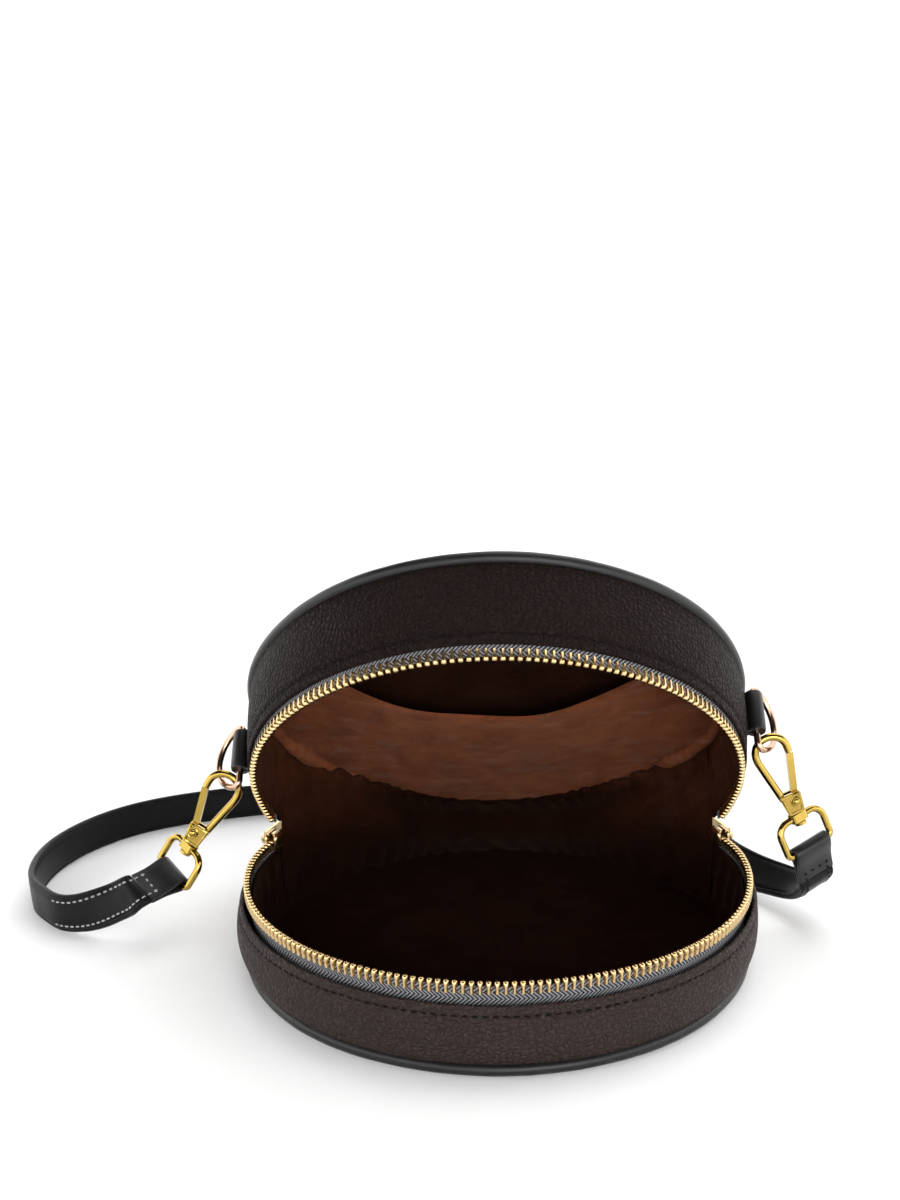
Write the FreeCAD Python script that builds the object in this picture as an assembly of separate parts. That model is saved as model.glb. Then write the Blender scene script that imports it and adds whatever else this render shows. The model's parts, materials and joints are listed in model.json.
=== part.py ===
import FreeCAD, Part
import math
import os

Vec = FreeCAD.Vector

# Circle bag lying open on its front panel, in millimetres.
# Origin: centre of the lower panel's outer face. +Z up, the zip's middle at -Y, +X to the right.

# Driving dimensions of the shell
BAG_D = 200.0            # over the piping
PIPING_D = 4.8
PIPING_LIFT = 0.4        # the panel stands this much proud of the piping
GUSSET_PROUD = 0.9       # gusset's face outside the middle of the piping
LOWER_H = 35.0           # lower panel face to the middle of the zip
UPPER_H = 41.0           # middle of the zip to the upper panel face
LEATHER = 1.6
BOARD = 1.2
BOARD_INSET = 2.0        # board's edge inside the panel's edge
LINING = 0.8
SEAM_GAP = 0.05          # between layers that are sewn together
LOWER_EDGE_GAP = 6.8     # middle of the zip to the folded leather edge, lower half
UPPER_EDGE_GAP = 4.6     # the same, upper half
HINGE_Y = 35.0           # the halves turn about a line this far behind the centre
OPEN_ANGLE = 47.0        # how far the upper half is tipped back
HINGE_END_GAP = 1.0      # leather ends this far short of the hinge line
FOLD_WIDTH = 4.4         # width of the rear fold's ridge
FOLD_STATIONS = 36
FOLD_RISE = 2.2          # the fold leaves its seam this far above the piping
FOLD_END_GAP = 3.4       # the fold starts this far behind the hinge line

# Zip
TAPE = 0.8
TAPE_WIDTH = 15.0
TOOTH_PITCH = 2.75
TOOTH_WIDTH = 1.1        # along the zip
TOOTH_DEPTH = 2.5        # across the tape
TOOTH_NOSE_DEPTH = 1.8   # the same, at the nose
TOOTH_LEG = 2.5          # from the middle of the zip down the tape
TOOTH_NOSE = 0.8         # from the middle of the zip past it
TOOTH_SLOT = 1.5         # how deep the tape sits in a tooth
TAPE_END_GAP = 13.0      # upper tape stops this far from the hinge line
TEETH_END_GAP = 15.0     # first tooth from the hinge line
STOP_LENGTH = 1.8
STOP_GAP = 0.4           # between a stop and its slider
SLIDER_LENGTH = 9.0
SLIDER_HEIGHT = 7.4
SLIDER_ROUND = 2.2
SLIDER_PLATE = 1.2
SLIDER_CHANNEL = 3.1     # between the two plates
SLIDER_SLOT = 1.3        # for the tape, between the flanges
SLIDER_FLANGE = 0.9
SLIDER_END_GAP = 3.6     # slider's rear end to the hinge line
DIVIDER_LENGTH = 3.6     # wedge that parts the two rows inside the slider
DIVIDER_GAP = 0.4        # wedge to the teeth
BRIDGE_RISE = 3.4
BRIDGE_WIRE = 1.4
BRIDGE_SPAN = 5.6
BRIDGE_WIDTH = 3.0
BRIDGE_ROUND = 1.7
PULL_LENGTH = 26.0
PULL_WIDTH = 6.4
PULL_ROUND = 1.9
PULL_THICK = 1.3         # also the width of the cross bar in the bridge
PULL_WINDOW = 4.6        # clear of the bridge's leg, along the pull
PULL_SIDE_CLEAR = 0.35   # each side of the bridge
PULL_HOLE_D = 2.6
PULL_HOLE_END = 4.2      # hole to the free end

# Slip pocket on the upper lining
POCKET_MOUTH_Y = -22.0
POCKET_INSET = 7.2       # pocket's edge inside the side lining
POCKET_GAP = 0.3         # at the sewn end
POCKET_STAND_OFF = 9.0   # at the mouth
POCKET_SHEET = 0.8
POCKET_END_Y = 62.0

# Tabs, rings, hooks and strap
LEFT_TAB_Z = 53.6        # height on the closed bag
RIGHT_TAB_Z = 58.6
LEFT_TAB_TURN = 1.0      # degrees forward of the side
RIGHT_TAB_TURN = 11.5
TAB_LENGTH = 17.0
TAB_D = 7.4
TAB_WEB = 3.2
RING_WIRE = 2.6
RING_BAR_CLEAR = 0.1
RING_BAR_HALF = 10.6     # half the straight bar
RING_TOP_GAP = 0.1       # tab's upper end to the ring's corner, as the ring hangs down
RING_CORNER = 2.6
RING_DEPTH = 13.0
LEFT_RING_SWING = 38.0   # from straight out, towards the back
RIGHT_RING_SWING = 56.0
LINK_ANGLE = -50.0       # where on the ring's bow the hook hangs
HOOK_WIRE = 3.0
HOOK_BOW_R = 6.3         # middle of the wire
HOOK_LINK_DROP = 2.0     # ring wire above the middle of the bow
LEFT_HOOK_LEAN = 33.0    # from straight down, outwards
RIGHT_HOOK_LEAN = 25.0
LEFT_HOOK_FORWARD = 6.0  # and this far towards the front
RIGHT_HOOK_FORWARD = 6.0
NOSE_LENGTH = 2.4
ARM_STRAIGHT = 1.0       # below the bow, before the arm leans in
ARM_BEND_R = 9.0
ARM_LEAN = 11.0
BASE_TOP = -17.8
BASE_BOTTOM = -26.4
BASE_TOP_HALF = 4.3
BASE_LOW_HALF = 3.2
BASE_THICK = 5.4
BASE_ROUND = 1.0
ARM_IN_BASE = 2.0        # how far the arm runs into the base
GATE_SLOT = 2.7
GATE_THICK = 2.4
GATE_WIDTH = 2.6
GATE_GAP = 0.35
RIVET_X = 1.3
RIVET_Z = -21.6
RIVET_D = 1.8
RIVET_CLEAR = 0.05
RIVET_HEAD_D = 3.2
RIVET_HEAD = 0.7
HEEL_R = 1.8
SPRING_D = 1.2
SPRING_WALL = 0.3
POST_D = 3.0
POST_HEAD_D = 4.6
POST_HEAD = 1.2
POST_CLEAR = 0.1
HUB_GAP = 0.4
HUB = 3.4
HUB_HALF = 3.6
HUB_THICK = 4.6
HUB_ROUND = 1.4
EYE_WIRE = 2.8
EYE_DEPTH = 13.6         # hub middle to the strap bar
EYE_TOP_CORNER = 5.2
EYE_BAR_CORNER = 1.7
LEFT_EYE_TURN = 40.0     # eye on its swivel, outer end to the back
RIGHT_EYE_TURN = 20.0
STRAP_WIDTH = 16.5
STRAP_THICK = 2.8
EYE_SIDE_CLEAR = 0.8     # strap edge to the eye's sides
FOLD_BORE_CLEAR = 0.1
FOLD_LENGTH = 14.0       # bar to the end of the fold
LEFT_FOLD_SWING = 50.0   # fold about the eye's bar, away from the eye's own plane
RIGHT_FOLD_SWING = 20.0
STRAP_JOIN_GAP = 0.3
STRAP_STATIONS = 84
STRAP_REST = 0.3         # lower edge above the floor
STRAP_LEAD = 3.0         # leaves each fold straight for this far

# Middle line of the strap on the floor, left end to right end, chosen by hand (x, y, z above its rest)
STRAP_ROUTE = [
    (-153.0, 6.5, 9.0), (-163.0, 8.5, 4.2), (-173.0, 11.0, 1.0), (-181.5, 14.5, 0.0),
    (-190.0, 22.5, 0.0), (-198.0, 33.0, 0.0), (-203.5, 53.0, 0.0), (-202.5, 78.0, 0.0),
    (-192.0, 104.0, 0.0), (-174.0, 124.0, 0.0), (-148.0, 138.0, 0.0), (-112.0, 149.0, 0.0),
    (-60.0, 156.0, 0.0), (0.0, 156.0, 0.0), (50.0, 146.0, 0.0), (84.0, 122.0, 0.0),
    (99.0, 95.0, 0.0), (104.0, 72.0, 0.0), (108.5, 57.5, 0.3), (114.7, 45.0, 1.2),
    (122.5, 33.5, 2.6), (129.5, 21.0, 5.6),
]
LEFT_STRAP_RISE = 42.0   # from the fold until the strap stands on its edge
RIGHT_STRAP_RISE = 110.0

# Sizes that follow from them
SAME = 0.001             # lengths this close are the same edge
PIPING_R = PIPING_D / 2
PIPING_RING_R = BAG_D / 2 - PIPING_R
PIPING_Z = PIPING_LIFT + PIPING_R
PIPING_TOP = PIPING_LIFT + PIPING_D
TOTAL_H = LOWER_H + UPPER_H
PANEL_R = PIPING_RING_R - PIPING_R - SEAM_GAP
GUSSET_R = PIPING_RING_R + GUSSET_PROUD
TAPE_R = GUSSET_R - LEATHER - SEAM_GAP
TAPE_MID_R = TAPE_R - TAPE / 2
LINING_R = TAPE_R - TAPE - SEAM_GAP
POCKET_R = LINING_R - LINING - POCKET_INSET
LINING_FLOOR = LEATHER + BOARD + LINING + 2 * SEAM_GAP
BOARD_R = PANEL_R - BOARD_INSET
HINGE_POINT = Vec(0, HINGE_Y, LOWER_H)
OPEN_RAD = math.radians(OPEN_ANGLE)
RING_R = RING_WIRE / 2
HOOK_R = HOOK_WIRE / 2
EYE_R = EYE_WIRE / 2


def open_up(shape):
    """Tip a shape of the closed bag's upper half back to the open pose."""
    shape.rotate(HINGE_POINT, Vec(1, 0, 0), -OPEN_ANGLE)
    return shape


def open_point(point):
    """The same turn for a point of the closed bag."""
    y = point.y - HINGE_Y
    z = point.z - LOWER_H
    c = math.cos(OPEN_RAD)
    s = math.sin(OPEN_RAD)
    return Vec(point.x, HINGE_Y + c * y + s * z, LOWER_H - s * y + c * z)


def open_direction(vector):
    """The same turn for a direction."""
    return open_point(HINGE_POINT + vector) - HINGE_POINT


def flip(shape):
    """Mirror a shape of the lower half to the closed upper half, seen from its own panel."""
    return shape.mirror(Vec(0, 0, TOTAL_H / 2), Vec(0, 0, 1))


def front_angle(radius, gap):
    """Half angle of a band about the front that stops a gap before the hinge line."""
    return math.degrees(math.acos(-(HINGE_Y - gap) / radius))


def disc(radius, low, thick):
    return Part.makeCylinder(radius, thick, Vec(0, 0, low))


def band(outer, inner, low, high, half):
    """Part of a tube wall, centred on the front, reaching half degrees each way."""
    turn = Vec(0, 0, 1)
    tube = Part.makeCylinder(outer, high - low, Vec(0, 0, low), turn, 2 * half)
    bore = Part.makeCylinder(inner, high - low, Vec(0, 0, low), turn, 360)
    wall = tube.cut(bore)
    wall.rotate(Vec(0, 0, 0), turn, -90 - half)
    return wall


def triangle(a, b, c):
    return Part.Face(Part.makePolygon([a, b, c, a]))


def quad(a, b, c, d):
    return [triangle(a, b, c), triangle(a, c, d)]


def sheet_solid(front, back):
    """Closed solid between two grids of points, front[station][row] and back[station][row]."""
    faces = []
    stations = len(front)
    rows = len(front[0])
    for i in range(stations - 1):
        for j in range(rows - 1):
            faces += quad(front[i][j], front[i][j + 1], front[i + 1][j + 1], front[i + 1][j])
            faces += quad(back[i][j], back[i + 1][j], back[i + 1][j + 1], back[i][j + 1])
        faces += quad(front[i][0], front[i + 1][0], back[i + 1][0], back[i][0])
        faces += quad(front[i][-1], back[i][-1], back[i + 1][-1], front[i + 1][-1])
    for j in range(rows - 1):
        faces += quad(front[0][j], back[0][j], back[0][j + 1], front[0][j + 1])
        faces += quad(front[-1][j], front[-1][j + 1], back[-1][j + 1], back[-1][j])
    shell = Part.makeShell(faces)
    shell.sewShape()
    solid = Part.makeSolid(shell)
    if solid.Volume < 0:
        solid.reverse()
    return solid


def sweep(edges, radius):
    """Round wire along a path of lines and tangent arcs."""
    path = Part.Wire(Part.__sortEdges__(edges))
    start = edges[0].valueAt(edges[0].FirstParameter)
    along = edges[0].tangentAt(edges[0].FirstParameter)
    section = Part.Wire(Part.makeCircle(radius, start, along))
    body = path.makePipeShell([section], True, False)
    if body.Volume < 0:
        body.reverse()
    return body


def line(a, b):
    return Part.makeLine(a, b)


def arc(a, middle, b):
    return Part.Arc(a, middle, b).toShape()


def half_shell(height, edge_gap):
    """The layers of one half, panel face at height 0, zip's middle at the given height."""
    edge = height - edge_gap
    leather_half = front_angle(GUSSET_R, HINGE_END_GAP)
    lining_half = front_angle(LINING_R, HINGE_END_GAP)
    board_low = LEATHER + SEAM_GAP
    return {
        "panel": disc(PANEL_R, 0, LEATHER),
        "board": disc(BOARD_R, board_low, BOARD),
        "lining_panel": disc(PANEL_R, board_low + BOARD + SEAM_GAP, LINING),
        "piping": Part.makeTorus(PIPING_RING_R, PIPING_R, Vec(0, 0, PIPING_Z)),
        "gusset": band(GUSSET_R, GUSSET_R - LEATHER, PIPING_TOP + SEAM_GAP, edge, leather_half),
        "gusset_lining": band(LINING_R, LINING_R - LINING, PIPING_TOP + SEAM_GAP, edge, lining_half),
    }


def zip_tape(height, end_gap):
    half = front_angle(TAPE_R, end_gap)
    top = height - TOOTH_LEG + TOOTH_SLOT - SEAM_GAP
    return band(TAPE_R, TAPE_R - TAPE, top - TAPE_WIDTH, top, half)


def tooth(height):
    """One tooth on the front of the lower tape, clamped over the tape's edge."""
    side = TOOTH_DEPTH / 2
    slot = TAPE / 2 + SEAM_GAP
    low = height - TOOTH_LEG
    slot_top = low + TOOTH_SLOT
    shoulder = height - TOOTH_NOSE
    nose_side = TOOTH_NOSE_DEPTH / 2
    outline = [
        (-side, low), (-slot, low), (-slot, slot_top), (slot, slot_top), (slot, low), (side, low),
        (side, shoulder), (nose_side, height + TOOTH_NOSE), (-nose_side, height + TOOTH_NOSE),
        (-side, shoulder),
    ]
    points = [Vec(-TOOTH_WIDTH / 2, -TAPE_MID_R + y, z) for y, z in outline]
    face = Part.Face(Part.makePolygon(points + points[:1]))
    return face.extrude(Vec(TOOTH_WIDTH, 0, 0))


def tooth_row(height, shift):
    """All the teeth of one half. shift is a share of the pitch."""
    step = math.degrees(TOOTH_PITCH / TAPE_MID_R)
    reach = front_angle(TAPE_MID_R, TEETH_END_GAP)
    count = int(reach / step)
    model = tooth(height)
    row = []
    for i in range(-count, count + 1):
        angle = (i + shift) * step
        if abs(angle) > reach:
            continue
        copy = model.copy()
        copy.rotate(Vec(0, 0, 0), Vec(0, 0, 1), angle)
        row.append(copy)
    return Part.makeCompound(row)


def on_zip(shape, angle):
    """Carry a shape modelled at the front of the zip round to an angle from the front."""
    shape.rotate(Vec(0, 0, 0), Vec(0, 0, 1), angle)
    return shape


def end_stops():
    """A crimped stop on the lower tape behind each slider, where the zip ends."""
    reach = front_angle(TAPE_MID_R, SLIDER_END_GAP)
    angle = reach + math.degrees((STOP_GAP + STOP_LENGTH / 2) / TAPE_MID_R)
    low = LOWER_H - TOOTH_LEG
    block = Part.makeBox(STOP_LENGTH, TOOTH_DEPTH, TOOTH_LEG - TOOTH_NOSE,
                         Vec(-STOP_LENGTH / 2, -TAPE_MID_R - TOOTH_DEPTH / 2, low))
    slot = Part.makeBox(STOP_LENGTH, TAPE + 2 * SEAM_GAP, TOOTH_SLOT,
                        Vec(-STOP_LENGTH / 2, -TAPE_MID_R - TAPE / 2 - SEAM_GAP, low))
    stop = block.cut(slot)
    return Part.makeCompound([on_zip(stop.copy(), side * angle) for side in (-1, 1)])


def rear_fold():
    """Rear gusset folded inwards between the two panels, with its lining round the fold."""
    seam_r = GUSSET_R - LEATHER
    seam_low = PIPING_TOP + FOLD_RISE
    seam_high = TOTAL_H - seam_low
    strip = seam_high - seam_low
    start = math.asin((HINGE_Y + FOLD_END_GAP) / seam_r)
    inward = OPEN_RAD / 2
    into = Vec(0, -math.cos(inward), math.sin(inward))
    across = Vec(0, math.sin(inward), math.cos(inward))
    lines = []
    for i in range(FOLD_STATIONS + 1):
        turn = start + (math.pi - 2 * start) * i / FOLD_STATIONS
        x = -seam_r * math.cos(turn)
        y = seam_r * math.sin(turn)
        low = Vec(x, y, seam_low)
        high = open_point(Vec(x, y, seam_high))
        middle = (low + high) * 0.5
        gap = max((high - low).Length - FOLD_WIDTH, 0)
        reach = math.sqrt(max((strip - FOLD_WIDTH) ** 2 - gap ** 2, 0)) / 2
        ridge = middle + into * reach
        lines.append([low, ridge - across * (FOLD_WIDTH / 2), ridge + across * (FOLD_WIDTH / 2), high])

    def offset(distance):
        grid = []
        for i, row in enumerate(lines):
            before = lines[max(i - 1, 0)]
            after = lines[min(i + 1, len(lines) - 1)]
            moved = []
            for j, point in enumerate(row):
                along = after[j] - before[j]
                up = row[min(j + 1, 3)] - row[max(j - 1, 0)]
                normal = along.cross(up)
                normal.normalize()
                moved.append(point + normal * distance)
            grid.append(moved)
        return grid

    skin = sheet_solid(offset(LEATHER / 2), offset(-LEATHER / 2))
    inner = sheet_solid(offset(-LEATHER / 2 - SEAM_GAP - LINING), offset(-LEATHER / 2 - SEAM_GAP))
    return skin, inner


def slider(side):
    """Zip slider round the lower tape, modelled at the front and carried to the zip's end."""
    half_h = SLIDER_HEIGHT / 2
    channel = SLIDER_CHANNEL / 2
    thick = SLIDER_CHANNEL + 2 * SLIDER_PLATE
    middle = LOWER_H
    block = Part.makeBox(SLIDER_LENGTH, thick, SLIDER_HEIGHT,
                         Vec(-SLIDER_LENGTH / 2, -TAPE_MID_R - thick / 2, middle - half_h))
    ends = [e for e in block.Edges if abs(e.Length - thick) < SAME]
    block = block.makeFillet(SLIDER_ROUND, ends)
    tunnel_h = SLIDER_HEIGHT - 2 * SLIDER_FLANGE
    tunnel = Part.makeBox(SLIDER_LENGTH, SLIDER_CHANNEL, tunnel_h,
                          Vec(-SLIDER_LENGTH / 2, -TAPE_MID_R - channel, middle - tunnel_h / 2))
    slot = Part.makeBox(SLIDER_LENGTH, SLIDER_SLOT, SLIDER_HEIGHT,
                        Vec(-SLIDER_LENGTH / 2, -TAPE_MID_R - SLIDER_SLOT / 2, middle - half_h))
    body = block.cut(tunnel.fuse(slot))
    divider_low = middle + TOOTH_NOSE + DIVIDER_GAP
    divider = Part.makeBox(DIVIDER_LENGTH, SLIDER_CHANNEL, middle + tunnel_h / 2 - divider_low,
                           Vec(-DIVIDER_LENGTH / 2, -TAPE_MID_R - channel, divider_low))
    face_y = -TAPE_MID_R - thick / 2
    bridge_outer = Part.makeBox(BRIDGE_SPAN, BRIDGE_RISE, BRIDGE_WIDTH,
                                Vec(-BRIDGE_SPAN / 2, face_y - BRIDGE_RISE, middle - BRIDGE_WIDTH / 2))
    crown = [e for e in bridge_outer.Edges
             if abs(e.Length - BRIDGE_WIDTH) < SAME and e.CenterOfMass.y < face_y - SAME]
    bridge_outer = bridge_outer.makeFillet(BRIDGE_ROUND, crown)
    bridge_hole = Part.makeBox(BRIDGE_SPAN - 2 * BRIDGE_WIRE, BRIDGE_RISE - BRIDGE_WIRE, BRIDGE_WIDTH,
                               Vec(-BRIDGE_SPAN / 2 + BRIDGE_WIRE, face_y - BRIDGE_RISE + BRIDGE_WIRE,
                                   middle - BRIDGE_WIDTH / 2))
    body = body.fuse(divider).fuse(bridge_outer.cut(bridge_hole)).removeSplitter()
    return on_zip(body, side * slider_angle())


def slider_angle():
    reach = front_angle(TAPE_MID_R, SLIDER_END_GAP)
    return reach - math.degrees(SLIDER_LENGTH / 2 / TAPE_MID_R)


def pull_pivot():
    """Where the pull hangs, on a slider at the front: the middle of the bridge's hole."""
    face_y = -TAPE_MID_R - SLIDER_CHANNEL / 2 - SLIDER_PLATE
    return Vec(0, face_y - (BRIDGE_RISE - BRIDGE_WIRE) / 2, LOWER_H)


def pull(side):
    """Flat pull whose cross bar sits in the bridge, pointing back along the hinge."""
    half = PULL_WIDTH / 2
    bar = PULL_THICK / 2
    slab = Part.makeBox(PULL_LENGTH, PULL_THICK, PULL_WIDTH, Vec(-bar, -bar, -half))
    corners = [e for e in slab.Edges if abs(e.Length - PULL_THICK) < SAME and e.CenterOfMass.x > bar]
    slab = slab.makeFillet(PULL_ROUND, corners)
    window_half = BRIDGE_WIDTH / 2 + PULL_SIDE_CLEAR
    window = Part.makeBox(PULL_WINDOW, PULL_THICK, 2 * window_half, Vec(bar, -bar, -window_half))
    hole = Part.makeCylinder(PULL_HOLE_D / 2, PULL_THICK, Vec(PULL_LENGTH - bar - PULL_HOLE_END, -bar, 0),
                             Vec(0, 1, 0))
    leaf = slab.cut(window).cut(hole)
    if side < 0:
        leaf.rotate(Vec(0, 0, 0), Vec(0, 0, 1), 180)
    leaf.translate(pull_pivot())
    return on_zip(leaf, side * slider_angle())


def slip_pocket():
    """Sheet on the upper lining, sewn at the rear and standing off at its mouth."""
    low = LINING_FLOOR + POCKET_GAP
    round_sheet = disc(POCKET_R, low, POCKET_SHEET)
    keep = Part.makeBox(2 * POCKET_R, POCKET_END_Y - POCKET_MOUTH_Y, POCKET_SHEET,
                        Vec(-POCKET_R, POCKET_MOUTH_Y, low))
    sheet = round_sheet.common(keep)
    tilt = math.degrees(math.atan2(POCKET_STAND_OFF, POCKET_END_Y - POCKET_MOUTH_Y))
    sheet.rotate(Vec(0, POCKET_END_Y, low), Vec(1, 0, 0), -tilt)
    return open_up(flip(sheet))


def tab_frame(side):
    """Centre of a tab's tube and its directions, opened: outwards, backwards and up the tube."""
    turn = math.radians(LEFT_TAB_TURN if side < 0 else RIGHT_TAB_TURN)
    out = Vec(side * math.cos(turn), -math.sin(turn), 0)
    rear = Vec(side * math.sin(turn), math.cos(turn), 0)
    centre = out * (GUSSET_R + SEAM_GAP + TAB_D / 2) + Vec(0, 0, LEFT_TAB_Z if side < 0 else RIGHT_TAB_Z)
    return open_point(centre), open_direction(out), open_direction(rear), open_direction(Vec(0, 0, 1))


def placed(shape, origin, x_dir, y_dir, z_dir):
    """Move a shape from its own axes to the given ones."""
    m = FreeCAD.Matrix(x_dir.x, y_dir.x, z_dir.x, origin.x,
                       x_dir.y, y_dir.y, z_dir.y, origin.y,
                       x_dir.z, y_dir.z, z_dir.z, origin.z,
                       0, 0, 0, 1)
    return shape.transformGeometry(m) if m.determinant() < 0 else shape.transformed(m, True)


def upright(x_dir, z_dir):
    """Third axis of a right-handed set."""
    return z_dir.cross(x_dir)


def tab(side):
    centre, out, _, up = tab_frame(side)
    half = TAB_LENGTH / 2
    tube = Part.makeCylinder(TAB_D / 2, TAB_LENGTH, Vec(0, 0, -half))
    web = Part.makeBox(TAB_D / 2, TAB_WEB, TAB_LENGTH, Vec(-TAB_D / 2, -TAB_WEB / 2, -half))
    bore = Part.makeCylinder(RING_R + RING_BAR_CLEAR, TAB_LENGTH, Vec(0, 0, -half))
    body = tube.fuse(web).cut(bore).removeSplitter()
    return placed(body, centre, out, upright(out, up), up)


def ring_bow():
    """Middle and radius of the ring's large arc, tangent to its two corners."""
    span = RING_DEPTH - RING_CORNER
    middle = (span ** 2 - RING_CORNER ** 2 - RING_BAR_HALF ** 2) / (2 * (span - RING_CORNER))
    return middle, RING_DEPTH - middle


def ring_drop():
    """How far the ring's middle hangs below the tab's."""
    return RING_BAR_HALF - TAB_LENGTH / 2 - RING_TOP_GAP


def ring_axes(side):
    """The ring's own axes: out of the tab in its swung place, and up the bar."""
    centre, out, rear, up = tab_frame(side)
    swing = math.radians(LEFT_RING_SWING if side < 0 else RIGHT_RING_SWING)
    away = out * math.cos(swing) + rear * math.sin(swing)
    return centre, away, up


def d_ring(side):
    middle, radius = ring_bow()
    corner = RING_CORNER
    half = RING_BAR_HALF
    steep = math.atan2(half, corner - middle)
    meet_top = Vec(middle + radius * math.cos(steep), 0, radius * math.sin(steep))
    meet_low = Vec(meet_top.x, 0, -meet_top.z)
    halfway = (math.pi + steep) / 2
    turn_top = Vec(corner + corner * math.cos(halfway), 0, half + corner * math.sin(halfway))
    turn_low = Vec(turn_top.x, 0, -turn_top.z)
    top = Vec(0, 0, half)
    low = Vec(0, 0, -half)
    bow_mid = Vec(RING_DEPTH, 0, 0)
    edges = [line(low, top), arc(top, turn_top, meet_top), arc(meet_top, bow_mid, meet_low),
             arc(meet_low, turn_low, low)]
    body = sweep(edges, RING_R)
    centre, away, up = ring_axes(side)
    return placed(body, centre - up * ring_drop(), away, upright(away, up), up)


def link_point(side):
    """Middle of the ring's wire where the hook hangs."""
    middle, radius = ring_bow()
    angle = math.radians(LINK_ANGLE)
    centre, away, up = ring_axes(side)
    return centre + away * (middle + radius * math.cos(angle)) + up * (radius * math.sin(angle) - ring_drop())


def hook_axes(side):
    """The hook's own axes: origin in the bow's middle, x to the gate, z up the hook."""
    lean = math.radians(LEFT_HOOK_LEAN if side < 0 else RIGHT_HOOK_LEAN)
    front = math.radians(LEFT_HOOK_FORWARD if side < 0 else RIGHT_HOOK_FORWARD)
    down = Vec(side * math.sin(lean), -math.cos(lean) * math.sin(front), -math.cos(lean) * math.cos(front))
    up = down * -1
    gate_way = Vec(side, 0, 0) - up * (up.x * side)
    gate_way.normalize()
    origin = link_point(side) - up * HOOK_LINK_DROP
    return origin, gate_way, up


def on_hook(shape, side):
    origin, gate_way, up = hook_axes(side)
    return placed(shape, origin, gate_way, upright(gate_way, up), up)


def eye_axes(side):
    """The eye's own axes: the hook's, turned on the swivel."""
    origin, gate_way, up = hook_axes(side)
    turn = math.radians(LEFT_EYE_TURN if side < 0 else RIGHT_EYE_TURN)
    back = gate_way.cross(up) * -side
    return origin, gate_way * math.cos(turn) + back * math.sin(turn), up


def on_eye(shape, side):
    origin, eye_way, up = eye_axes(side)
    return placed(shape, origin, eye_way, upright(eye_way, up), up)


def hook_frame(side):
    """Teardrop of round wire, open on the gate's side, that runs into a wedge with a slot for the gate."""
    bow = HOOK_BOW_R
    turn = math.radians(ARM_LEAN)
    nose = Vec(bow, 0, -NOSE_LENGTH)
    gate_side = Vec(bow, 0, 0)
    arm_top = Vec(-bow, 0, 0)
    arm_low = Vec(-bow, 0, -ARM_STRAIGHT)

    def bent(angle):
        return Vec(-bow + ARM_BEND_R * (1 - math.cos(angle)), 0, -ARM_STRAIGHT - ARM_BEND_R * math.sin(angle))

    bend_end = bent(turn)
    tail_z = BASE_TOP - ARM_IN_BASE
    tail = Vec(bend_end.x + (bend_end.z - tail_z) * math.tan(turn), 0, tail_z)
    edges = [line(nose, gate_side), arc(gate_side, Vec(0, 0, bow), arm_top), line(arm_top, arm_low),
             arc(arm_low, bent(turn / 2), bend_end), line(bend_end, tail)]
    wire = sweep(edges, HOOK_R)
    wedge = [Vec(x, -BASE_THICK / 2, z) for x, z in (
        (-BASE_TOP_HALF, BASE_TOP), (BASE_TOP_HALF, BASE_TOP), (BASE_LOW_HALF, BASE_BOTTOM),
        (-BASE_LOW_HALF, BASE_BOTTOM))]
    base = Part.Face(Part.makePolygon(wedge + wedge[:1])).extrude(Vec(0, BASE_THICK, 0))
    rims = [e for e in base.Edges if abs(e.Length - BASE_THICK) < SAME]
    base = base.makeFillet(BASE_ROUND, rims)
    slot_low = RIVET_Z - HEEL_R - GATE_GAP
    slot_side = RIVET_X - HEEL_R - GATE_GAP - SPRING_D
    slot = Part.makeBox(BASE_TOP_HALF + HOOK_WIRE - slot_side, GATE_SLOT, BASE_TOP + HOOK_R - slot_low,
                        Vec(slot_side, -GATE_SLOT / 2, slot_low))
    hole = Part.makeCylinder(RIVET_D / 2 + RIVET_CLEAR, BASE_THICK, Vec(RIVET_X, -BASE_THICK / 2, RIVET_Z),
                             Vec(0, 1, 0))
    body = wire.fuse(base).cut(slot).cut(hole).removeSplitter()
    return on_hook(body, side)


def gate(side):
    """Bar from the rivet to the hook's nose, with a round heel on the rivet."""
    top = -NOSE_LENGTH - GATE_GAP
    foot = Vec(RIVET_X, 0, RIVET_Z)
    head = Vec(HOOK_BOW_R, 0, top)
    reach = head - foot
    lean = math.degrees(math.atan2(reach.x, reach.z))
    heel = Part.makeCylinder(HEEL_R, GATE_THICK, Vec(RIVET_X, -GATE_THICK / 2, RIVET_Z), Vec(0, 1, 0))
    bar = Part.makeBox(GATE_WIDTH, GATE_THICK, reach.Length, Vec(-GATE_WIDTH / 2, -GATE_THICK / 2, 0))
    bar.rotate(Vec(0, 0, 0), Vec(0, 1, 0), lean)
    bar.translate(foot)
    trim = Part.makeBox(4 * GATE_WIDTH, 2 * GATE_THICK, 2 * GATE_WIDTH,
                        Vec(HOOK_BOW_R - 2 * GATE_WIDTH, -GATE_THICK, top))
    hole = Part.makeCylinder(RIVET_D / 2 + RIVET_CLEAR, GATE_THICK, Vec(RIVET_X, -GATE_THICK / 2, RIVET_Z),
                             Vec(0, 1, 0))
    body = heel.fuse(bar).cut(trim).cut(hole).removeSplitter()
    return on_hook(body, side)


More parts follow.
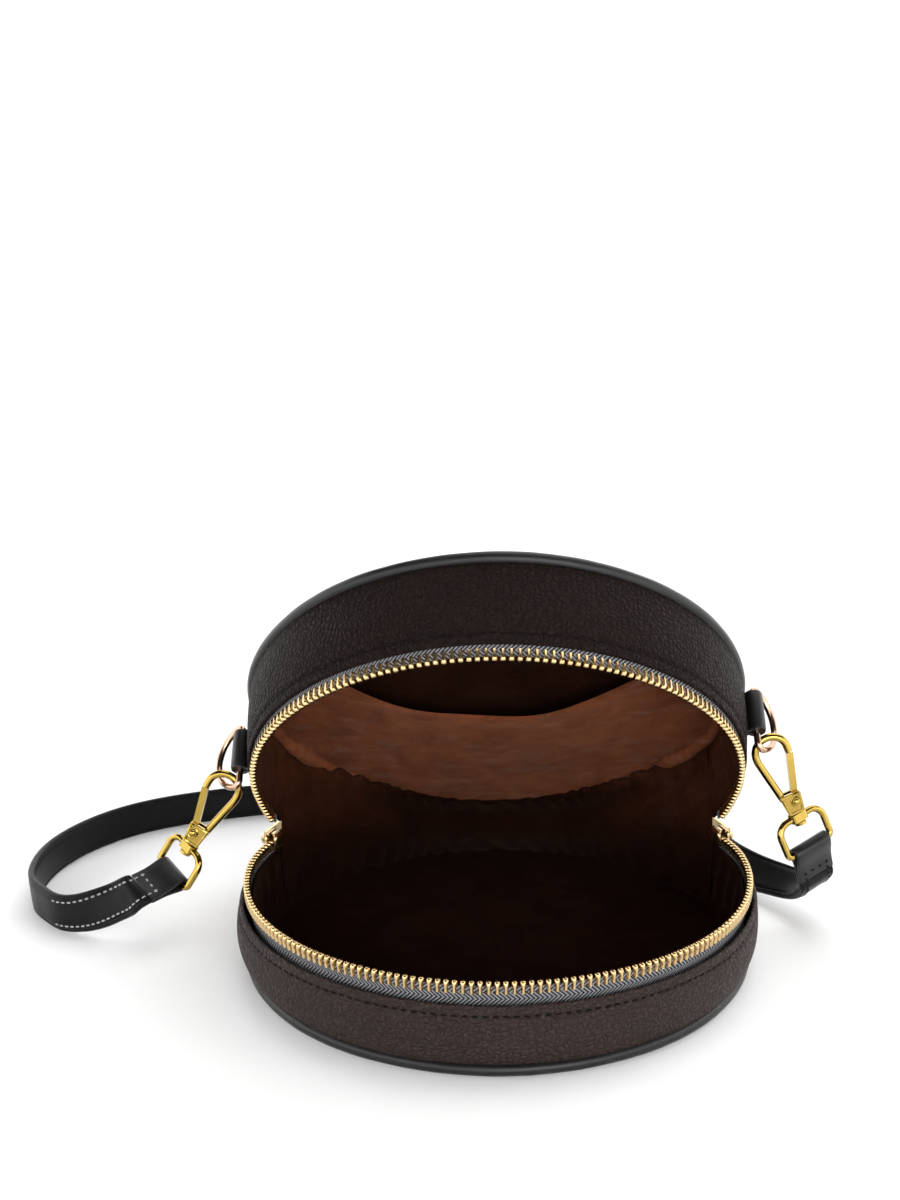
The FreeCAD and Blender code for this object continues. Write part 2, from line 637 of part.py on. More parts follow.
def gate_rivet(side):
    half = BASE_THICK / 2
    shank = Part.makeCylinder(RIVET_D / 2, BASE_THICK, Vec(RIVET_X, -half, RIVET_Z), Vec(0, 1, 0))
    heads = [Part.makeCylinder(RIVET_HEAD_D / 2, RIVET_HEAD, Vec(RIVET_X, y, RIVET_Z), Vec(0, 1, 0))
             for y in (half, -half - RIVET_HEAD)]
    return on_hook(shank.fuse(heads[0]).fuse(heads[1]).removeSplitter(), side)


def gate_spring(side):
    """Small coil, drawn as a sleeve, in the slot behind the gate's heel."""
    x = RIVET_X - HEEL_R - GATE_GAP / 2 - SPRING_D / 2
    length = GATE_SLOT - 2 * GATE_GAP
    sleeve = Part.makeCylinder(SPRING_D / 2, length, Vec(x, -length / 2, RIVET_Z), Vec(0, 1, 0))
    bore = Part.makeCylinder(SPRING_D / 2 - SPRING_WALL, length, Vec(x, -length / 2, RIVET_Z), Vec(0, 1, 0))
    return on_hook(sleeve.cut(bore), side)


def hub_top():
    return BASE_BOTTOM - HUB_GAP


def eye_bar_z():
    return hub_top() - HUB / 2 - EYE_DEPTH


def swivel_post(side):
    low = hub_top() - HUB - HUB_GAP
    shank = Part.makeCylinder(POST_D / 2, BASE_BOTTOM - low, Vec(0, 0, low))
    head = Part.makeCylinder(POST_HEAD_D / 2, POST_HEAD, Vec(0, 0, low - POST_HEAD))
    return on_hook(shank.fuse(head).removeSplitter(), side)


def swivel_eye(side):
    """Loop for the strap, with a hub that turns on the hook's post."""
    top = hub_top() - HUB / 2
    bar = eye_bar_z()
    wide = STRAP_WIDTH / 2 + EYE_SIDE_CLEAR + EYE_R
    corners = [(1, top, -1, EYE_TOP_CORNER), (1, bar, 1, EYE_BAR_CORNER),
               (-1, bar, 1, EYE_BAR_CORNER), (-1, top, -1, EYE_TOP_CORNER)]
    edges = [line(Vec(0, 0, top), Vec(wide - EYE_TOP_CORNER, 0, top))]
    for x_sign, z, z_sign, bend in corners:
        short = bend * (1 - math.sqrt(0.5))
        across = Vec(x_sign * (wide - bend), 0, z)
        down = Vec(x_sign * wide, 0, z + z_sign * bend)
        middle = Vec(x_sign * (wide - short), 0, z + z_sign * short)
        first, last = (across, down) if (x_sign > 0) == (z_sign < 0) else (down, across)
        edges.append(arc(first, middle, last))
    runs = [(edges[1], edges[2]), (edges[2], edges[3]), (edges[3], edges[4])]
    joined = [edges[0], edges[1]]
    for first, second in runs:
        joined.append(line(first.Vertexes[-1].Point, second.Vertexes[0].Point))
        joined.append(second)
    joined.append(line(edges[4].Vertexes[-1].Point, Vec(0, 0, top)))
    loop = sweep(joined, EYE_R)
    hub = Part.makeBox(2 * HUB_HALF, HUB_THICK, HUB, Vec(-HUB_HALF, -HUB_THICK / 2, top - HUB / 2))
    rims = [e for e in hub.Edges if abs(e.Length - HUB) < SAME]
    hub = hub.makeFillet(HUB_ROUND, rims)
    height = HUB + EYE_WIRE
    bore = Part.makeCylinder(POST_D / 2 + POST_CLEAR, height, Vec(0, 0, top - height / 2))
    return on_eye(loop.fuse(hub).cut(bore).removeSplitter(), side)


def fold_swing(side):
    return LEFT_FOLD_SWING if side < 0 else RIGHT_FOLD_SWING


def strap_fold(side):
    """Strap end folded round the eye's bar and sewn to itself."""
    bar = eye_bar_z()
    inner = EYE_R + FOLD_BORE_CLEAR
    outer = inner + STRAP_THICK / 2
    end = STRAP_THICK / 2
    low = bar - FOLD_LENGTH
    taper = bar - FOLD_LENGTH / 2
    points = [Vec(0, -outer, bar), Vec(0, 0, bar + outer), Vec(0, outer, bar)]
    rest = [points[2], Vec(0, end, taper), Vec(0, end, low), Vec(0, -end, low), Vec(0, -end, taper),
            points[0]]
    edges = [arc(*points)] + [line(a, b) for a, b in zip(rest, rest[1:])]
    face = Part.Face(Part.Wire(edges))
    body = face.extrude(Vec(STRAP_WIDTH, 0, 0))
    body.translate(Vec(-STRAP_WIDTH / 2, 0, 0))
    bore = Part.makeCylinder(inner, STRAP_WIDTH, Vec(-STRAP_WIDTH / 2, 0, bar), Vec(1, 0, 0))
    body = body.cut(bore)
    body.rotate(Vec(0, 0, bar), Vec(1, 0, 0), fold_swing(side))
    return on_eye(body, side)


def fold_end(side):
    """Where the fold ends and the rest of the strap starts: its place, direction and width."""
    origin, eye_way, up = eye_axes(side)
    swing = math.radians(fold_swing(side))
    way = upright(eye_way, up) * math.sin(swing) - up * math.cos(swing)
    start = origin + up * eye_bar_z() + way * (FOLD_LENGTH + STRAP_JOIN_GAP)
    return start, way, eye_way


def strap_line():
    """Smooth middle line of the strap, with its length."""
    lift = STRAP_REST + STRAP_WIDTH / 2
    points = [Vec(x, y, z + lift) for x, y, z in STRAP_ROUTE]
    left, left_way = fold_end(-1)[:2]
    right, right_way = fold_end(1)[:2]
    starts = [left, left + left_way * STRAP_LEAD]
    ends = [right + right_way * STRAP_LEAD, right]
    curve = Part.BSplineCurve()
    curve.interpolate(starts + points + ends)
    return curve


def strap():
    """Flat strap that leaves each eye aslant and stands on its edge on the floor."""
    curve = strap_line()
    edge = curve.toShape()
    count = STRAP_STATIONS
    stations = edge.discretize(count + 1)
    left_wide = fold_end(-1)[2]
    right_wide = fold_end(1)[2]
    tall = Vec(0, 0, 1)
    front = []
    back = []
    for i, point in enumerate(stations):
        before = stations[max(i - 1, 0)]
        after = stations[min(i + 1, count)]
        along = after - before
        along.normalize()
        if i == 0:
            along = fold_end(-1)[1]
        if i == count:
            along = fold_end(1)[1] * -1
        on_left = i < count / 2
        start = left_wide if on_left else right_wide
        rise = LEFT_STRAP_RISE if on_left else RIGHT_STRAP_RISE
        ease = min(min(i, count - i) / count * edge.Length / rise, 1.0)
        ease = ease * ease * (3 - 2 * ease)
        wide = start * (1 - ease) + tall * ease
        wide = wide - along * wide.dot(along)
        wide.normalize()
        side_way = along.cross(wide)
        side_way.normalize()
        arm = wide * (STRAP_WIDTH / 2)
        face = side_way * (STRAP_THICK / 2)
        front.append([point + arm + face, point - arm + face])
        back.append([point + arm - face, point - arm - face])
    return sheet_solid(front, back), edge.Length


def build():
    """Every node of the bag by name."""
    nodes = {}
    lower = half_shell(LOWER_H, LOWER_EDGE_GAP)
    upper = half_shell(UPPER_H, UPPER_EDGE_GAP)
    for name, shape in lower.items():
        nodes["lower_" + name] = shape
    for name, shape in upper.items():
        nodes["upper_" + name] = open_up(flip(shape))
    nodes["lower_zip_tape"] = zip_tape(LOWER_H, HINGE_END_GAP)
    nodes["upper_zip_tape"] = open_up(flip(zip_tape(UPPER_H, TAPE_END_GAP)))
    nodes["lower_zip_teeth"] = tooth_row(LOWER_H, 0.0)
    nodes["upper_zip_teeth"] = open_up(flip(tooth_row(UPPER_H, 0.5)))
    nodes["zip_end_stops"] = end_stops()
    nodes["hinge_gusset"], nodes["hinge_lining"] = rear_fold()
    nodes["slip_pocket"] = slip_pocket()
    for side, word in ((-1, "left"), (1, "right")):
        nodes[word + "_slider"] = slider(side)
        nodes[word + "_pull"] = pull(side)
        nodes[word + "_tab"] = tab(side)
        nodes[word + "_d_ring"] = d_ring(side)
        nodes[word + "_hook_frame"] = hook_frame(side)
        nodes[word + "_gate"] = gate(side)
        nodes[word + "_gate_rivet"] = gate_rivet(side)
        nodes[word + "_gate_spring"] = gate_spring(side)
        nodes[word + "_swivel_post"] = swivel_post(side)
        nodes[word + "_swivel_eye"] = swivel_eye(side)
        nodes[word + "_strap_fold"] = strap_fold(side)
    nodes["strap"], length = strap()
    print("strap between the folds", round(length, 1), "mm")
    return nodes


os.makedirs("parts", exist_ok=True)
for node_name, node_shape in build().items():
    node_shape.exportStep("parts/" + node_name + ".step")
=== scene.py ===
import json
import math

import bmesh
import bpy
import numpy as np
from mathutils import Matrix, Vector


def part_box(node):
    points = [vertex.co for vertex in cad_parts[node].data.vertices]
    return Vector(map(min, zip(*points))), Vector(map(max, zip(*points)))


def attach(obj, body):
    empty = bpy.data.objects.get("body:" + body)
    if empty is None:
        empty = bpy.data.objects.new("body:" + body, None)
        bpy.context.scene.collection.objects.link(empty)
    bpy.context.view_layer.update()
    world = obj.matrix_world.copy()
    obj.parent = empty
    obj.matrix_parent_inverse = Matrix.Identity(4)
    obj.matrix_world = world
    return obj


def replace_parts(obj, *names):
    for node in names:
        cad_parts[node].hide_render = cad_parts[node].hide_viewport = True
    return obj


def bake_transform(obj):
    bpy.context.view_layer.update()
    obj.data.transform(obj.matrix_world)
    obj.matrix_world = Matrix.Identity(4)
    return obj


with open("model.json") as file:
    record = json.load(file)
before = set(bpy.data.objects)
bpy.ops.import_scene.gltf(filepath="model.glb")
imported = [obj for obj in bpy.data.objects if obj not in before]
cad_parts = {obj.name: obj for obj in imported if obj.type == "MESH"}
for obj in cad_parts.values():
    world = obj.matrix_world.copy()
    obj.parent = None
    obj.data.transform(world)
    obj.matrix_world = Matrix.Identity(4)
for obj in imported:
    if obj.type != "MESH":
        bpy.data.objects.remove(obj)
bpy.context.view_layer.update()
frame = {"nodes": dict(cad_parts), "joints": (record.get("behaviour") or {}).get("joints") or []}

bl_info = {
    "name": "Circle Bag",
    "version": (1, 0, 0),
    "blender": (4, 5, 0),
    "location": "3D View > Sidebar > Circle Bag",
    "description": "Leather, suede, zip and strap of an open circle bag",
    "category": "Object",
}

MM = 0.001

# Places and sizes that the frame gives
joint_of = {j["name"]: j for j in frame["joints"]}
HINGE = np.array(joint_of["lid_hinge"]["pos_m"])
OPEN_ANGLE = math.radians(-joint_of["lid_hinge"]["range_deg"][0])
BAG_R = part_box("lower_piping")[1].x
PIPING_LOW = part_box("lower_piping")[0].z
PIPING_R = (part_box("lower_piping")[1].z - PIPING_LOW) / 2
PIPING_Z = PIPING_LOW + PIPING_R
PANEL_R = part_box("lower_panel")[1].x
PANEL_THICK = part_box("lower_panel")[1].z
GUSSET_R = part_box("lower_gusset")[1].x
LOWER_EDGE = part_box("lower_gusset")[1].z
TAPE_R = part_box("lower_zip_tape")[1].x
LINING_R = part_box("lower_gusset_lining")[1].x
LINING_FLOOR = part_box("lower_lining_panel")[1].z
LOWER_H = HINGE[2]
SIDES = ((-1, "left"), (1, "right"))


class CircleBagSizes(bpy.types.PropertyGroup):
    """Sizes of the soft pieces and their trim"""
    upper_height: bpy.props.FloatProperty(
        name="Upper half height", description="Upper panel's face to the middle of the zip",
        default=0.041, unit="LENGTH")
    upper_edge_gap: bpy.props.FloatProperty(
        name="Upper edge gap", description="Middle of the zip to the folded edge of the upper leather",
        default=0.0046, unit="LENGTH")
    leather: bpy.props.FloatProperty(
        name="Leather", description="Thickness of the side wall's folded leather",
        default=0.0016, unit="LENGTH")
    belly: bpy.props.FloatProperty(
        name="Belly", description="How far the side walls swell between their seams",
        default=0.0009, unit="LENGTH")
    side_sag: bpy.props.FloatProperty(
        name="Side sag", description="How far the lower side wall sags out at its left and right",
        default=0.0026, unit="LENGTH")
    lower_flare: bpy.props.FloatProperty(
        name="Lower flare", description="How far the lower side wall leans out at its open edge",
        default=0.0024, unit="LENGTH")
    upper_flare: bpy.props.FloatProperty(
        name="Upper flare", description="How far the upper side wall leans out at its open edge",
        default=-0.0009, unit="LENGTH")
    lower_chain_flare: bpy.props.FloatProperty(
        name="Lower chain flare", description="How far the lower zip chain leans out at the front and sides",
        default=0.0014, unit="LENGTH")
    upper_chain_flare: bpy.props.FloatProperty(
        name="Upper chain flare", description="How far the upper zip chain leans out at the front and sides",
        default=-0.0011, unit="LENGTH")
    dome: bpy.props.FloatProperty(
        name="Panel dome", description="How far the upper panel swells in its middle",
        default=0.0022, unit="LENGTH")
    tooth_pitch: bpy.props.FloatProperty(
        name="Tooth pitch", description="From one tooth of a row to the next",
        default=0.00275, unit="LENGTH")
    stitch_pitch: bpy.props.FloatProperty(
        name="Stitch pitch", description="From one stitch to the next",
        default=0.0034, unit="LENGTH")
    stitch_inset: bpy.props.FloatProperty(
        name="Stitch inset", description="Folded leather edge to the stitch line",
        default=0.0040, unit="LENGTH")
    pocket_stand_off: bpy.props.FloatProperty(
        name="Pocket stand-off", description="How far the pocket's mouth hangs off the lining",
        default=0.0090, unit="LENGTH")
    pocket_sag: bpy.props.FloatProperty(
        name="Pocket sag", description="How far the middle of the pocket's mouth hangs below its ends",
        default=0.0240, unit="LENGTH")
    strap_width: bpy.props.FloatProperty(
        name="Strap width", description="Width of the shoulder strap", default=0.0165, unit="LENGTH")
    strap_thick: bpy.props.FloatProperty(
        name="Strap thickness", description="Thickness of the shoulder strap", default=0.0028, unit="LENGTH")


class CircleBagColours(bpy.types.PropertyGroup):
    """Colours of the finishes"""
    brown_leather: bpy.props.FloatVectorProperty(
        name="Brown leather", description="Pebbled leather of the panels and side walls",
        default=(0.0170, 0.0108, 0.0094), subtype="COLOR", min=0, max=1)
    black_leather: bpy.props.FloatVectorProperty(
        name="Black leather", description="Smooth leather of the piping, tabs and strap",
        default=(0.0050, 0.0049, 0.0050), subtype="COLOR", min=0, max=1)
    suede: bpy.props.FloatVectorProperty(
        name="Suede", description="Lining and slip pocket",
        default=(0.128, 0.0390, 0.0160), subtype="COLOR", min=0, max=1)
    zip_tape: bpy.props.FloatVectorProperty(
        name="Zip tape", description="Woven tape of the zip",
        default=(0.045, 0.045, 0.048), subtype="COLOR", min=0, max=1)
    zip_gold: bpy.props.FloatVectorProperty(
        name="Zip gold", description="Teeth, sliders, stops and pulls",
        default=(0.66, 0.47, 0.23), subtype="COLOR", min=0, max=1)
    hook_gold: bpy.props.FloatVectorProperty(
        name="Hook gold", description="Hooks, gates and swivel eyes",
        default=(0.40, 0.275, 0.062), subtype="COLOR", min=0, max=1)
    rose_gold: bpy.props.FloatVectorProperty(
        name="Rose gold", description="D-rings",
        default=(0.52, 0.34, 0.24), subtype="COLOR", min=0, max=1)
    dark_thread: bpy.props.FloatVectorProperty(
        name="Dark thread", description="Stitches on the side walls",
        default=(0.0022, 0.0018, 0.0016), subtype="COLOR", min=0, max=1)
    pale_thread: bpy.props.FloatVectorProperty(
        name="Pale thread", description="Stitches on the strap",
        default=(0.34, 0.34, 0.33), subtype="COLOR", min=0, max=1)


# Where things are

def polar(radius, angle, z):
    """Point round the bag, angle from the front towards +X."""
    radius, angle, z = np.broadcast_arrays(radius, angle, z)
    return np.stack([radius * np.sin(angle), -radius * np.cos(angle), z], -1)


def tip_back(points):
    """Carry points of the closed bag's upper half to the open pose."""
    q = np.asarray(points, float) - HINGE
    c, s = math.cos(OPEN_ANGLE), math.sin(OPEN_ANGLE)
    turned = np.stack([q[..., 0], c * q[..., 1] + s * q[..., 2], c * q[..., 2] - s * q[..., 1]], -1)
    return turned + HINGE


def front_span(radius, gap):
    """Half angle from the front to a gap short of the hinge line."""
    return math.acos(-(HINGE[1] - gap) / radius)


def ease(value):
    """Smooth step from 0 to 1."""
    t = np.clip(value, 0, 1)
    return t * t * (3 - 2 * t)


def ripple(angle, counts, phase):
    """Slow uneven waves round the bag, from -1 to 1."""
    return sum(np.sin(k * angle + phase * (i + 1) ** 2) for i, k in enumerate(counts)) / len(counts)


class Half:
    """One half of the shell. Its own heights are measured from its panel's outer face."""

    def __init__(self, name, height, edge, flare, chain_flare, phase, leather):
        self.name = name
        self.body = name + "_half"
        self.height = height
        self.edge = edge
        self.flare = flare
        self.chain_flare = chain_flare
        self.phase = phase
        self.leather = leather

    def place(self, points):
        """Carry points of this half to the open bag."""
        if self.name == "lower":
            return np.asarray(points, float)
        flipped = np.array(points, float)
        flipped[..., 2] = LOWER_H + self.height - flipped[..., 2]
        return tip_back(flipped)

    def aim(self, vectors):
        """The same turn for directions."""
        return self.place(vectors) - self.place(np.zeros(3))


def halves(sizes):
    """Lower and upper half, as the sizes ask."""
    lower = Half("lower", LOWER_H, LOWER_EDGE, sizes.lower_flare, sizes.lower_chain_flare, 0.4, "brown")
    # The lid takes a darkened copy of the brown leather, as painted shade
    upper = Half("upper", sizes.upper_height, sizes.upper_height - sizes.upper_edge_gap,
                 sizes.upper_flare, sizes.upper_chain_flare, 1.7, "lid_brown")
    return lower, upper


# Meshes

SHARP_ANGLE = math.radians(42)
MERGE_DISTANCE = 1e-6
TINY = 1e-12


def round_turns(count, start=0.0):
    """Even angles once round, the last one a step short of the first."""
    return start + np.linspace(0, 2 * math.pi, count + 1)[:-1]


def unit(vectors):
    """Vectors brought to a length of 1."""
    return vectors / np.maximum(np.linalg.norm(vectors, axis=-1, keepdims=True), TINY)


def smooth(mesh, material):
    """Shade a mesh smooth, apart from its sharp edges, and give it its material."""
    mesh.shade_smooth()
    mesh.set_sharp_from_angle(angle=SHARP_ANGLE)
    mesh.materials.clear()
    mesh.materials.append(material)


def finish_mesh(obj, material):
    """Merge poles, point faces outwards, shade smooth and give the material."""
    mesh = obj.data
    work = bmesh.new()
    work.from_mesh(mesh)
    bmesh.ops.remove_doubles(work, verts=work.verts, dist=MERGE_DISTANCE)
    bmesh.ops.recalc_face_normals(work, faces=work.faces)
    work.to_mesh(mesh)
    work.free()
    smooth(mesh, material)
    return obj


def new_object(name, data):
    """Object of a mesh, a light or a camera, in the scene."""
    obj = bpy.data.objects.new(name, data)
    bpy.context.scene.collection.objects.link(obj)
    return obj


def run_along(points):
    """Running length along a line of points."""
    return np.concatenate([[0], np.cumsum(np.linalg.norm(np.diff(points, axis=0), axis=1))])


def run_round(points):
    """Running length along a line of points, closed back to its start."""
    return run_along(np.concatenate([points, points[:1]]))


def skin(name, sections, material, ring=False):
    """Closed skin through equal loops of points, sections[station, point].

    UV holds metres along and round.
    """
    sections = np.asarray(sections, float)
    count, around = sections.shape[:2]
    stations = np.arange(count if ring else count - 1)
    i, j = np.meshgrid(stations, np.arange(around), indexing="ij")
    after, beside = (i + 1) % count, (j + 1) % around
    faces = np.stack([i * around + j, i * around + beside, after * around + beside, after * around + j], -1)
    quads = faces.reshape(-1, 4).tolist()
    along_u = run_round(sections.mean(axis=1))
    round_v = run_round(sections[count // 2])
    u = np.stack([along_u[i], along_u[i], along_u[i + 1], along_u[i + 1]], -1).reshape(-1)
    v = np.stack([round_v[j], round_v[j + 1], round_v[j + 1], round_v[j]], -1).reshape(-1)
    if not ring:
        quads += [list(range(around))[::-1], list(range((count - 1) * around, count * around))]
        for station in (0, count - 1):
            u = np.concatenate([u, np.full(around, along_u[station])])
            v = np.concatenate([v, round_v[:around]])
    mesh = bpy.data.meshes.new(name)
    mesh.from_pydata(sections.reshape(-1, 3).tolist(), [], quads)
    layer = mesh.uv_layers.new(name="UVMap")
    layer.data.foreach_set("uv", np.stack([u, v], -1).ravel())
    return finish_mesh(new_object(name, mesh), material)


def grid_normals(grid):
    """Directions out of a grid of points, grid[station, row]."""
    return unit(np.cross(np.gradient(grid, axis=0), np.gradient(grid, axis=1)))


def sheet_sections(grid, thick):
    """Loops for a sheet about a grid of points. Its thickness is one value or one for each point."""
    grid = np.asarray(grid, float)
    normal = grid_normals(grid)
    half = np.broadcast_to(np.asarray(thick, float), grid.shape[:2])[..., None] / 2
    return np.concatenate([grid + normal * half, (grid - normal * half)[:, ::-1]], axis=1)


def spline(points, count):
    """Smooth curve through points: count places along it, evenly spaced."""
    points = np.asarray(points, float)
    knots = np.concatenate([[0], np.cumsum(np.linalg.norm(np.diff(points, axis=0), axis=1) ** 0.5)])
    h = np.diff(knots)
    n = len(points)
    system = np.eye(n)
    right = np.zeros_like(points)
    for k in range(1, n - 1):
        system[k, k - 1:k + 2] = h[k - 1], 2 * (h[k - 1] + h[k]), h[k]
        right[k] = 6 * ((points[k + 1] - points[k]) / h[k] - (points[k] - points[k - 1]) / h[k - 1])
    bend = np.linalg.solve(system, right)

    def at(t):
        k = np.clip(np.searchsorted(knots, t) - 1, 0, n - 2)
        a = ((knots[k + 1] - t) / h[k])[:, None]
        b = 1 - a
        w = (h[k] ** 2)[:, None] / 6
        return a * points[k] + b * points[k + 1] + ((a ** 3 - a) * bend[k] + (b ** 3 - b) * bend[k + 1]) * w

    fine = np.linspace(0, knots[-1], 40 * n)
    run = run_along(at(fine))
    return at(np.interp(np.linspace(0, run[-1], count), run, fine))


# Rows of like pieces along a path

def row_tree():
    """Node tree that sets copies of a piece along a path at a pitch and turns them to the path's own up."""
    name = "row_along_path"
    if name in bpy.data.node_groups:
        return bpy.data.node_groups[name]
    tree = bpy.data.node_groups.new(name, "GeometryNodeTree")
    entries = {"Path": "Geometry", "Piece": "Object", "Pitch": "Float", "Material": "Material"}
    for socket, kind in entries.items():
        tree.interface.new_socket(socket, in_out="INPUT", socket_type="NodeSocket" + kind)
    tree.interface.new_socket("Row", in_out="OUTPUT", socket_type="NodeSocketGeometry")

    def add(kind, **settings):
        node = tree.nodes.new(kind)
        for key, value in settings.items():
            setattr(node, key, value)
        return node

    start = add("NodeGroupInput")
    end = add("NodeGroupOutput")
    curve = add("GeometryNodeMeshToCurve")
    spaced = add("GeometryNodeResampleCurve", mode="LENGTH")
    along = add("GeometryNodeInputTangent")
    up = add("GeometryNodeInputNamedAttribute", data_type="FLOAT_VECTOR")
    up.inputs["Name"].default_value = "up"
    aim = add("FunctionNodeAlignRotationToVector", axis="X")
    lift = add("FunctionNodeAlignRotationToVector", axis="Z", pivot_axis="X")
    piece = add("GeometryNodeObjectInfo")
    copies = add("GeometryNodeInstanceOnPoints")
    real = add("GeometryNodeRealizeInstances")
    paint = add("GeometryNodeSetMaterial")
    links = (
        (start, "Path", curve, "Mesh"),
        (curve, "Curve", spaced, "Curve"),
        (start, "Pitch", spaced, "Length"),
        (along, "Tangent", aim, "Vector"),
        (aim, "Rotation", lift, "Rotation"),
        (up, "Attribute", lift, "Vector"),
        (start, "Piece", piece, "Object"),
        (spaced, "Curve", copies, "Points"),
        (piece, "Geometry", copies, "Instance"),
        (lift, "Rotation", copies, "Rotation"),
        (copies, "Instances", real, "Geometry"),
        (real, "Geometry", paint, "Geometry"),
        (start, "Material", paint, "Material"),
        (paint, "Geometry", end, "Row"),
    )
    for node, result, other, entry in links:
        tree.links.new(node.outputs[result], other.inputs[entry])
    return tree


def row_along(name, paths, ups, piece, pitch, material):
    """Plain mesh of copies of a piece along paths, each path with its own up directions."""
    verts, edges, up = [], [], []
    for path, way in zip(paths, ups):
        first = len(verts)
        verts += np.asarray(path, float).tolist()
        edges += [(k, k + 1) for k in range(first, len(verts) - 1)]
        up += np.broadcast_to(way, np.shape(path)).tolist()
    mesh = bpy.data.meshes.new(name + "_path")
    mesh.from_pydata(verts, edges, [])
    attribute = mesh.attributes.new("up", "FLOAT_VECTOR", "POINT")
    attribute.data.foreach_set("vector", np.asarray(up, float).ravel())
    obj = new_object(name, mesh)
    tree = row_tree()
    socket = {item.name: item.identifier for item in tree.interface.items_tree if item.in_out == "INPUT"}
    modifier = obj.modifiers.new("row", "NODES")
    modifier.node_group = tree
    modifier[socket["Piece"]] = piece
    modifier[socket["Pitch"]] = pitch
    modifier[socket["Material"]] = material
    bpy.context.view_layer.update()
    evaluated = obj.evaluated_get(bpy.context.evaluated_depsgraph_get())
    made = bpy.data.meshes.new_from_object(evaluated)
    made.name = name
    obj.modifiers.clear()
    obj.data = made
    smooth(made, material)
    bpy.data.meshes.remove(mesh)
    return obj


def pattern_piece(name, sections):
    """A small shape that a row copies. It is taken away once the row is made."""
    plain = bpy.data.materials.get("pattern") or bpy.data.materials.new("pattern")
    return skin(name, sections, plain)


def remove(obj):
    """Take an object and its mesh away."""
    mesh = obj.data
    bpy.data.objects.remove(obj)
    bpy.data.meshes.remove(mesh)


def join(name, parts, material):
    """One object of several parts, which are taken away."""
    work = bmesh.new()
    for part in parts:
        work.from_mesh(part.data)
        remove(part)
    mesh = bpy.data.meshes.new(name)
    work.to_mesh(mesh)
    work.free()
    return finish_mesh(new_object(name, mesh), material)


STITCH_END = 0.06
STITCH_DIP = 0.55


def capsule(length, width, height):
    """Loops of a short thread: fat in its middle, sunk at its ends."""
    loops = []
    for share in np.linspace(-1, 1, 7):
        size = math.sqrt(max(1 - share ** 4, STITCH_END))
        wide, high = width / 2 * size, height / 2 * size
        dip = -height * STITCH_DIP * share ** 2
        loops.append([(length / 2 * share, wide * math.cos(q), dip + high * math.sin(q))
                      for q in round_turns(6)])
    return loops


# Materials

# Heights between which the suede's painted shade goes from its darkest share to its full colour
SHADE_DEEPEST_HEIGHT = 30 * MM
SHADE_END_HEIGHT = 72 * MM


class Finish:
    """A material under construction, with short ways to add nodes and links."""

    def __init__(self, name):
        self.material = bpy.data.materials.new(name)
        self.material.use_nodes = True
        self.tree = self.material.node_tree
        self.shader = self.tree.nodes["Principled BSDF"]
        self.place = self.add("ShaderNodeTexCoord")

    def add(self, kind, settings=None, **inputs):
        node = self.tree.nodes.new(kind)
        for key, value in (settings or {}).items():
            setattr(node, key, value)
        for key, value in inputs.items():
            self.set(node.inputs[key.replace("_", " ")], value)
        return node

    def set(self, socket, value):
        if isinstance(value, bpy.types.NodeSocket):
            self.tree.links.new(value, socket)
        else:
            socket.default_value = value

    def shade(self, **inputs):
        for key, value in inputs.items():
            self.set(self.shader.inputs[key.replace("_", " ")], value)

    def math(self, operation, a, b=0.0, c=0.0):
        node = self.tree.nodes.new("ShaderNodeMath")
        node.operation = operation
        for socket, value in zip(node.inputs, (a, b, c)):
            self.set(socket, value)
        return node.outputs[0]

    def noise(self, scale, detail=3.0, rough=0.5, vector=None, distort=0.0):
        node = self.add("ShaderNodeTexNoise", Scale=scale, Detail=detail, Roughness=rough, Distortion=distort)
        self.set(node.inputs["Vector"], vector or self.place.outputs["Object"])
        return node.outputs["Fac"]

    def spread(self, value, low, high, to_low=0.0, to_high=1.0):
        node = self.add("ShaderNodeMapRange")
        for key, x in (("Value", value), ("From Min", low), ("From Max", high),
                       ("To Min", to_low), ("To Max", to_high)):
            self.set(node.inputs[key], x)
        return node.outputs["Result"]

    def mix(self, factor, a, b):
        node = self.add("ShaderNodeMix", {"data_type": "RGBA"})
        for index, value in ((0, factor), (6, a), (7, b)):
            self.set(node.inputs[index], value)
        return node.outputs[2]

    def bump(self, height, distance, strength):
        node = self.add("ShaderNodeBump", Height=height, Distance=distance, Strength=strength)
        return node.outputs["Normal"]


def tint(colour, gain=1.0):
    """A colour made brighter or darker, with its alpha."""
    return tuple(min(c * gain, 1.0) for c in colour) + (1.0,)


